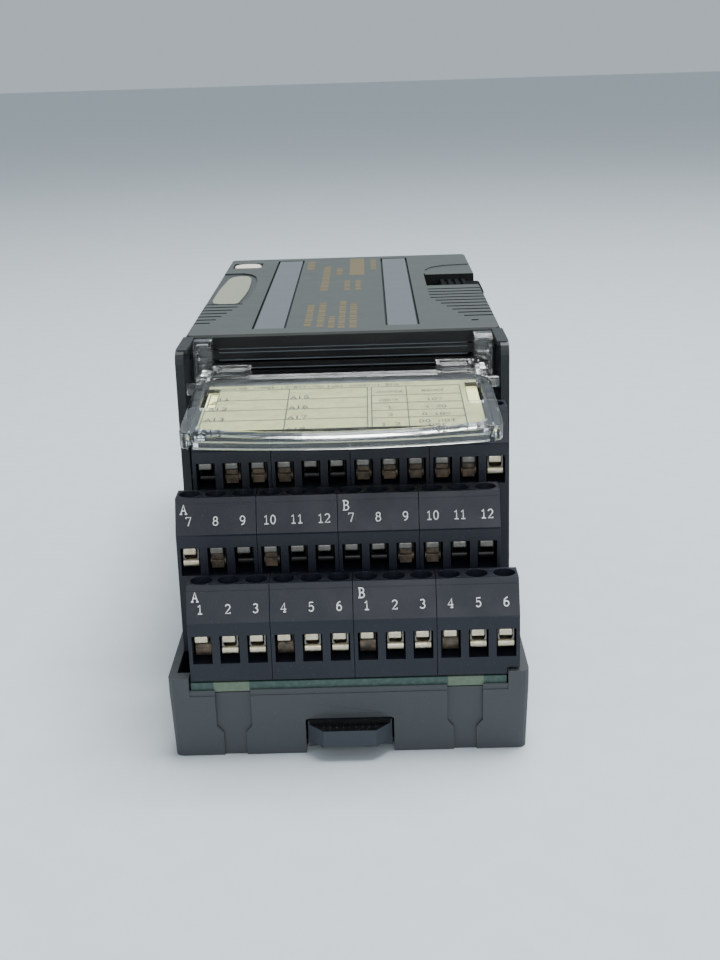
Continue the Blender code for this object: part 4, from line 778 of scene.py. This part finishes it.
def written(words, weight):
    """Flat strokes of (text, x, y, height), centred on x and y, as one mesh in the plane z = 0."""
    curve = bpy.data.curves.new("strokes", "CURVE")
    curve.dimensions = "3D"
    curve.bevel_depth = 0.5
    curve.bevel_resolution = 1
    curve.use_fill_caps = True
    for text, x, y, height in words:
        start = x - (GLYPH_ADVANCE * (len(text) - 1) + GLYPH_WIDTH) / 2 * height
        for place, letter in enumerate(text):
            for stroke in GLYPHS[letter]:
                spline = curve.splines.new("POLY")
                spline.points.add(len(stroke) - 1)
                for point, (across, up) in zip(spline.points, stroke):
                    left = start + (across + place * GLYPH_ADVANCE) * height
                    point.co = (left, y + (up - 0.5) * height, 0, 1)
                    point.radius = weight * height
    made = helper(curve)
    graph = bpy.context.evaluated_depsgraph_get()
    mesh = bpy.data.meshes.new_from_object(made.evaluated_get(graph))
    bpy.data.objects.remove(made)
    mesh.transform(Matrix.Scale(INK_RELIEF, 4, (0, 0, 1)))
    return mesh


def plate_matrix(row):
    """From a plate's plane, with y up from its foot, to where it leans."""
    turn = Matrix((Vector((1, 0, 0)), PLATE_UP, PLATE_OUT)).transposed().to_4x4()
    return Matrix.Translation((0, row_front(row) - PLATE_LIP, row_foot(row))) @ turn


def numbers():
    for row, first in ((0, 1), (1, 7)):
        words = []
        poles = [x for middle in block_middles(row) for x in pole_xs(middle)]
        for index, x in enumerate(poles):
            group, place = divmod(index, POLES_PER_GROUP)
            words.append((str(first + place), x, NUMBER_MIDDLE, NUMBER_HEIGHT))
            if place == 0:
                words.append(("AB"[group], x - LETTER_SHIFT, LETTER_MIDDLE, LETTER_HEIGHT))
        mesh = written(words, NUMBER_STROKE)
        mesh.transform(plate_matrix(row) @ Matrix.Translation((0, 0, 0.05)))
        piece(f"numbers_{row + 1}", mesh, WHITE_INK, "carrier")


# Module cover

COVER_TOP = frame_box("module_cover")[1].z
COVER_UNDER = frame_box("module_housing")[1].z + SEAM
COVER_HALF = frame_box("module_cover")[1].x
COVER_NEAR, COVER_FAR = [corner.y for corner in frame_box("module_cover")]
STRIPS = (-15.9, 12.7)
STRIP_HALF = 3.45
STRIP_ENDS = (58.8, 158.8)
LEFT_FAN = [(67.0 + 3.9 * step, -29.3 + 0.87 * step) for step in range(7)]
RIGHT_FAN = [(67.5 + 4.05 * step, max(20.0, 26.4 - 1.05 * step)) for step in range(10)]
BADGE = [(-31.9, 96.5), (-31.4, 93.2), (-29.8, 91.7), (-26.3, 91.6), (-25.3, 93.2), (-24.6, 104.0)]
BADGE += [(-24.4, 112.0), (-24.6, 122.0), (-25.1, 130.0), (-26.1, 133.0), (-28.4, 133.6), (-30.2, 132.0)]
BADGE += [(-31.0, 128.5), (-31.8, 112.0)]
RECESS_EDGE = [(-24.6, 91.0), (-23.6, 96.0), (-23.0, 105.0), (-22.8, 115.0), (-23.2, 125.0), (-24.0, 132.0)]
RECESS_EDGE += [(-25.4, 136.0), (-28.0, 138.5)]
POCKET_X = 20.0
POCKET_Y = (109.2, 128.8)
SCOOP = [(20.3, 128.0), (20.6, 135.5), (22.4, 140.2), (26.0, 143.0), (33.5, 144.4), (33.5, 128.0)]
MARKS = [
    (-10.0, 2.0, 141.0, 156.0),
    (-5.4, 1.9, 106.0, 146.0),
    (-2.0, 1.6, 131.0, 142.0),
    (7.0, 1.5, 139.0, 158.0),
    (0.2, 1.4, 106.0, 121.0),
    (3.0, 1.4, 106.0, 121.0),
    (-7.7, 1.6, 60.0, 86.0),
    (-5.0, 1.6, 59.0, 89.0),
    (-2.6, 1.4, 57.5, 71.0),
    (-0.4, 1.5, 57.0, 91.0),
    (2.1, 1.6, 57.0, 87.0),
]
MARK_SIZES = (2.6, 1.4, 3.2, 2.0)
MARK_GAP = 0.7
SOLID_MARK = ((0.6, 4.5), (129.5, 159.6))
BED_DEPTH = 0.8
FAN_DEPTH = 0.5
RECESS_DEPTH = 0.45
SCOOP_DEPTH = 0.28
LIGHT_DEPTH = 1.2
RECESS_ENDS = (91.0, 138.5)
LIGHT_BAR = ((-31.4, -24.0), (147.9, 155.6))
SKIRT_INSET = (1.9, 2.2)
SKIRT_WALL = 1.2
SKIRT_DROP = 1.6


def rounded_box(x, y, z, corner, top):
    """A box with round upright edges and a chamfer round its top."""

    def build(work):
        add_box(work, x, y, z)
        upright = [e for e in work.edges if e.verts[0].co.xy == e.verts[1].co.xy]
        bmesh.ops.bevel(work, geom=upright, offset=corner, segments=4, profile=0.5, affect="EDGES")
        rim = [e for e in work.edges if all(abs(v.co.z - z[1]) < 1e-4 for v in e.verts)]
        bmesh.ops.bevel(work, geom=rim, offset=top, segments=3, profile=0.5, affect="EDGES")

    return mesh_of(build)


def printed_marks():
    """Rows of short dashes that stand for print, and one solid patch."""
    z = (COVER_TOP - 0.1, COVER_TOP + 0.02)
    bars = [(*SOLID_MARK, z)]
    for x, width, start, end in MARKS:
        y, step = start, 0
        while y < end:
            length = min(MARK_SIZES[step % len(MARK_SIZES)], end - y)
            bars.append(((x - width / 2, x + width / 2), (y, y + length), z))
            y += length + MARK_GAP
            step += 1
    return boxes(*bars)


def cover_cuts():
    """Beds for the strips, grip grooves, badge recess, light, lever pocket and the scoop behind it."""
    past = COVER_TOP + PAST
    side = COVER_HALF + PAST
    bed = STRIP_HALF + 0.2
    bed_z = (COVER_TOP - BED_DEPTH, past)
    fan_z = (COVER_TOP - FAN_DEPTH, past)
    beds = [((x - bed, x + bed), STRIP_ENDS, bed_z) for x in STRIPS]
    fans = [((-side, x), (y - 0.55, y + 0.55), fan_z) for y, x in LEFT_FAN]
    fans += [((x, side), (y - 0.6, y + 0.6), fan_z) for y, x in RIGHT_FAN]
    small = ((27.6, 29.1), (61.4, 62.7), (COVER_TOP - 0.7, past))
    light = ((-31.7, -23.7), (147.6, 155.9), (COVER_TOP - LIGHT_DEPTH, past))
    outline = [(-side, RECESS_ENDS[0])] + RECESS_EDGE + [(-side, RECESS_ENDS[1])]
    recess = extruded(outline, COVER_TOP - RECESS_DEPTH, past)
    scoop = extruded(SCOOP, COVER_TOP - SCOOP_DEPTH, past)
    pocket = boxes(((POCKET_X, side), POCKET_Y, (COVER_UNDER - PAST, past)))
    return [boxes(*beds, *fans, small, light), recess, scoop, pocket]


def cover_plate():
    """The cut plate, with material 0 on top, 1 in grooves as painted shade, 2 in the recess as painted
    shade and 3 on dark walls, painted shade in the lever's pocket.
    """
    ends = (COVER_NEAR, COVER_FAR)
    plate = rounded_box((-COVER_HALF, COVER_HALF), ends, (COVER_UNDER, COVER_TOP), 1.2, 0.6)
    plate = shaped(plate, cover_cuts(), bevel=0.06, segments=1)

    def inside(at):
        return abs(at.x) < COVER_HALF - 0.05 and COVER_NEAR + 0.1 < at.y < COVER_FAR - 0.1

    def sunk(at):
        return COVER_UNDER + 0.01 < at.z < COVER_TOP - 0.12 and inside(at)

    def right(at, low, high=math.inf):
        return sunk(at) and at.x > POCKET_X - 1 and low < at.y < high

    # Sunk faces in grooves take the groove's painted shade.
    recoloured(plate, 1, sunk)
    # The badge recess takes its painted shade.
    recoloured(plate, 2, lambda at: sunk(at) and at.x < -22 and at.y > RECESS_ENDS[0] - 0.5)
    recoloured(plate, 0, lambda at: right(at, POCKET_Y[1] + 0.1))
    # The lever pocket's walls in black: painted shade in the deep pocket.
    recoloured(plate, 3, lambda at: right(at, POCKET_Y[0] - 0.1, POCKET_Y[1] + 0.1))
    return recoloured(plate, 3, lambda at: at.z < COVER_TOP - 0.7 and not inside(at))


def strip_inlay(x):
    half = STRIP_HALF - 0.25
    ends = (STRIP_ENDS[0] + 0.4, STRIP_ENDS[1] - 0.4)
    return shaped(boxes(((x - half, x + half), ends, (COVER_TOP - 0.9, COVER_TOP - 0.08))), bevel=0.12)


def cover_skirt():
    """A rim under the plate, open at the lever's pocket."""
    x = (-COVER_HALF + SKIRT_INSET[0], COVER_HALF - SKIRT_INSET[0])
    y = (COVER_NEAR + SKIRT_INSET[1], COVER_FAR - SKIRT_INSET[1])
    inner = [(side[0] + SKIRT_WALL, side[1] - SKIRT_WALL) for side in (x, y)]
    hollow = boxes((*inner, (COVER_UNDER - 4, COVER_UNDER + 0.2)))
    gap = boxes(((POCKET_X, COVER_HALF), POCKET_Y, (COVER_UNDER - 4, COVER_UNDER + PAST)))
    return shaped(boxes((x, y, (COVER_UNDER - SKIRT_DROP, COVER_UNDER + 0.2))), [hollow, gap])


def module_cover():
    parts = [(None, cover_plate()), (0, cover_skirt())]
    parts += [(4, strip_inlay(x)) for x in STRIPS] + [(5, printed_marks())]
    finishes = (COVER, GROOVE_SHADE, RECESS_SHADE, BLACK, STRIP, TAN_INK)
    piece("cover_plate", merged(*parts), finishes, "module", ["module_cover"])
    badge = shaped(extruded(BADGE, COVER_TOP - 0.5, COVER_TOP), bevel=0.25, segments=3)
    piece("badge", badge, CREAM, "module", ["badge_insert"])
    bar = rounded_box(*LIGHT_BAR, (COVER_TOP - 1.3, COVER_TOP), 3.2, 0.5)
    piece("light_bar", bar, LENS, "module", ["indicator_lens"])


LOUVRE_HIGHLIGHTS = (66.6, 65.8, 64.2, 62.4, 60.3)
HIGHLIGHT_HALF = 0.07


def louvre_highlights():
    """Thin pale bars along the louvres in the module's near end: painted highlights where the louvres' lips
    catch the light.
    """
    near = frame_box("module_housing")[0].y
    y = (near - 0.06, near + 0.3)
    highlights = [((-26.2, 26.2), y, (z - HIGHLIGHT_HALF, z + HIGHLIGHT_HALF)) for z in LOUVRE_HIGHLIGHTS]
    piece("louvre_highlights", boxes(*highlights), HOUSING_HIGHLIGHT, "module")


# Card holder, drawn flat from the tray's far top edge with y towards the module, then tilted

TRAY_TILT = math.radians(4.2)
TRAY_FAR = (42.3, 63.45)
TRAY_HALF = 29.3
TRAY_DEPTH = 3.1
TRAY_PLAN = [
    (29.3, -33.5),
    (28.6, -34.7),
    (27.3, -35.3),
    (21.0, -36.1),
    (14.0, -36.8),
    (7.0, -37.2),
]
TRAY_NOSE = -37.4
CARD_LEVEL = -1.25
CARD_HALF = 26.5
CARD_INSET = (2.9, 3.1)
CARD_NOSE = -34.4
CARD_THICKNESS = 0.3
RULE_HALF = 0.1
PRINT_RISE = 0.05
LABEL_ROWS = (-14.0, -20.1, -26.1, -32.6)
TABLE = {
    "across": [(-26.0, 4.9, y) for y in (-8.8, -15.1, -21.2, -27.2, -33.9)]
    + [(5.7, 23.0, y) for y in (-8.8, -14.2, -19.0, -23.4, -27.7, -34.0)],
    "along": [(x, -33.9, -8.8) for x in (-26.0, -10.4, 4.9, 5.7, 12.5, 23.0)],
}
CARD_WORDS = [
    ("ANALOG INPUT 12 BIT", -15.6, -7.6, 1.15),
    ("VOLTAGE CURRENT 8CH", 2.6, -7.6, 1.15),
    *[(f"AI{row + 1}", -23.6, y, 1.6) for row, y in enumerate(LABEL_ROWS)],
    *[(f"AI{row + 5}", -8.2, y, 1.6) for row, y in enumerate(LABEL_ROWS)],
    ("JUMPER", 9.1, -12.2, 1.2),
    ("RANGE", 17.7, -12.0, 1.2),
    ("NONE", 9.1, -17.3, 1.3),
    ("10V", 17.7, -17.3, 1.4),
    ("1", 9.1, -21.8, 1.5),
    ("4-20", 17.7, -21.8, 1.4),
    ("2", 9.1, -26.2, 1.5),
    ("0-10V", 17.7, -26.2, 1.4),
    ("1 2", 9.1, -31.4, 1.6),
    ("DO NOT", 17.7, -30.2, 1.5),
    ("USE", 17.7, -32.6, 1.5),
]


def tray_plan(inset, back):
    """The tray's bowed outline, drawn in by inset along its front and sides."""
    front = [(x - (inset if x > 20 else 0), y + inset) for x, y in TRAY_PLAN]
    points = [(-TRAY_HALF + inset, back), (TRAY_HALF - inset, back)]
    points += front + [(0.0, TRAY_NOSE + inset)] + [(-x, y) for x, y in reversed(front)]
    return points


def tilted(mesh):
    mesh.transform(Matrix.Translation((0, *TRAY_FAR)) @ Matrix.Rotation(TRAY_TILT, 4, "X"))
    return mesh


def both(x, y, z):
    """A box on the right and its mirror image on the left."""
    return boxes((x, y, z), ((-x[1], -x[0]), y, z))


RIM_WIDTH = 1.5
SKIN_UNDER = -2.1
BED_INSET = 2.7
BED_BACK = -5.4
BED_TOP = -0.9
NOSE_SLOPE = [(-34.0, 0.1), (-41.0, 0.1), (-41.0, -2.3)]
NOSE_HALF = 26.6
SMALL_WINDOW = ((24.1, 27.0), (-20.5, -9.3))
CORNER_SLIT = ((26.8, 27.6), (-37.0, -33.0))


def clear_tray():
    """The tray: a skin over the card, a rim that is low in the middle, and two small windows."""
    under = -TRAY_DEPTH - PAST
    cuts = [
        extruded(tray_plan(RIM_WIDTH, PAST), under, SKIN_UNDER),
        extruded(tray_plan(BED_INSET, BED_BACK), under, BED_TOP),
        extruded(NOSE_SLOPE, -NOSE_HALF, NOSE_HALF, ALONG_X),
        both(*SMALL_WINDOW, (-PAST, PAST)),
        both(*CORNER_SLIT, (under, -1.6)),
    ]
    return tilted(shaped(extruded(tray_plan(0.0, 0.0), -TRAY_DEPTH, 0.0), cuts, bevel=0.14))


ARM_X = (27.1, 30.8)
ARM_OUTLINE = [(51.0, 61.2), (51.0, 69.4), (48.4, 69.4), (47.6, 69.0), (47.3, 68.2), (47.3, 61.2)]
ARM_POCKETS = ((65.6, 68.6), (61.9, 64.9))
WEB_OUTLINE = [(40.3, 61.0), (40.3, 63.0), (47.6, 63.5), (47.6, 61.0)]
TAB_PLAN = [(19.1, 50.3), (19.1, 42.0), (20.0, 40.9), (26.8, 40.9), (26.8, 50.3)]
PIN_RADIUS = 1.4
PIN_AT = (50.0, 66.9)
NUB_RADIUS = 1.2
NUB_Y = 37.0
NUB_DROP = 1.05


def holder_arm():
    """One hinge arm on the right: ribbed box, finger tab, pin and nub."""
    arm = extruded(ARM_OUTLINE, *ARM_X, ALONG_X)
    pockets = [boxes(((27.8, 30.1), (46.0, 49.7), z)) for z in ARM_POCKETS]
    web = extruded(WEB_OUTLINE, ARM_X[0], 29.1, ALONG_X)
    dip = boxes(((20.2, 25.7), (43.0, 49.3), (63.4, 65.8)))
    tab = shaped(extruded(TAB_PLAN, 61.0, 63.8), [dip], bevel=0.15)
    bridge = boxes(((26.0, 28.2), (47.4, 50.3), (61.1, 63.7)))
    pin = rods((PIN_RADIUS, (30.0, *PIN_AT), (32.5, *PIN_AT)))
    nub_z = TRAY_FAR[1] - NUB_DROP - (TRAY_FAR[0] - NUB_Y) * math.tan(TRAY_TILT)
    nub = rods((NUB_RADIUS, (28.3, NUB_Y, nub_z), (31.1, NUB_Y, nub_z)))
    return shaped(arm, pockets, [web, tab, bridge, pin, nub], bevel=0.14)


def mirrored(mesh):
    other = mesh.copy()
    other.transform(Matrix.Scale(-1, 4, (1, 0, 0)))
    other.flip_normals()
    return other


def card_holder():
    arm = holder_arm()
    holder = shaped(clear_tray(), joins=[arm, mirrored(arm)])
    piece("clear_holder", holder, CLEAR, "card_holder", ["card_holder"])
    front = [(x - CARD_INSET[0] if x > 26 else x, y + CARD_INSET[1]) for x, y in TRAY_PLAN]
    outline = [(-CARD_HALF, -5.7), (CARD_HALF, -5.7)] + front + [(0.0, CARD_NOSE)]
    outline += [(-x, y) for x, y in reversed(front)]
    card = tilted(extruded(outline, CARD_LEVEL - CARD_THICKNESS, CARD_LEVEL))
    piece("card", card, CARD, "card_holder", ["wiring_card"])
    print_top = CARD_LEVEL + PRINT_RISE
    z = (CARD_LEVEL - 0.1, print_top)
    lines = [((left, right), (y - RULE_HALF, y + RULE_HALF), z) for left, right, y in TABLE["across"]]
    lines += [((x - RULE_HALF, x + RULE_HALF), (low, high), z) for x, low, high in TABLE["along"]]
    words = written(CARD_WORDS, CARD_STROKE)
    words.transform(Matrix.Translation((0, 0, print_top)))
    card_print = tilted(merged((0, boxes(*lines)), (0, words)))
    piece("card_print", card_print, DARK_INK, "card_holder")


# Floor, light and camera


FLOOR_HALF = 6.0
FLOOR_CORNERS = ((-1, -1), (1, -1), (1, 1), (-1, 1))
SKY_STRENGTH = 0.76
FOCAL_LENGTH = 51.87
SENSOR_WIDTH = 36.0
CAMERA_AT = (0.006145, -0.32766, 0.11784)
CAMERA_YAW = -0.01221
CAMERA_PITCH = 0.29956
CAMERA_ROLL = -0.03133


def studio():
    floor_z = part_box("carrier_base")[0][2]
    mesh = bpy.data.meshes.new("floor")
    corners = [(x * FLOOR_HALF, y * FLOOR_HALF, floor_z) for x, y in FLOOR_CORNERS]
    mesh.from_pydata(corners, [], [(0, 1, 2, 3)])
    floor = bpy.data.objects.new("floor", mesh)
    bpy.context.scene.collection.objects.link(floor)
    paint = Finish("floor_paint", srgb(208, 216, 220), 0.7)
    paint.tint(paint.noise(8 * MM, 3.0), srgb(196, 205, 210), 0.3)
    mesh.materials.append(paint.material)
    world = bpy.data.worlds.new("studio")
    bpy.context.scene.world = world
    world.use_nodes = True
    sky = world.node_tree.nodes["Background"]
    sky.inputs["Color"].default_value = srgb(206, 218, 226)
    sky.inputs["Strength"].default_value = SKY_STRENGTH
    lamp("top_light", (0.16, 0.08, 0.9), (0, 0, 0), 0.55, 14)
    lamp("front_fill", (0.1, -1.2, 0.45), (0, 0, 0.03), 0.6, 4.5)


def lamp(name, place, target, size, power):
    data = bpy.data.lights.new(name, "AREA")
    data.shape = "DISK"
    data.size = size
    data.energy = power
    made = bpy.data.objects.new(name, data)
    made.location = place
    made.rotation_euler = (Vector(target) - Vector(place)).to_track_quat("-Z", "Y").to_euler()
    bpy.context.scene.collection.objects.link(made)


def camera():
    data = bpy.data.cameras.new("camera")
    data.lens = FOCAL_LENGTH
    data.sensor_width = SENSOR_WIDTH
    data.clip_start = 0.01
    made = bpy.data.objects.new("camera", data)
    made.location = CAMERA_AT
    facing = Matrix.Rotation(-CAMERA_YAW, 4, "Z")
    level = facing @ Matrix.Rotation(math.radians(90) - CAMERA_PITCH, 4, "X")
    turn = level @ Matrix.Rotation(CAMERA_ROLL, 4, "Z")
    made.rotation_euler = turn.to_euler()
    bpy.context.scene.collection.objects.link(made)
    bpy.context.scene.camera = made


carried_over()
latch_grip()
latch_coil()
terminal_blocks()
clamps()
numbers()
module_cover()
louvre_highlights()
card_holder()
studio()
camera()
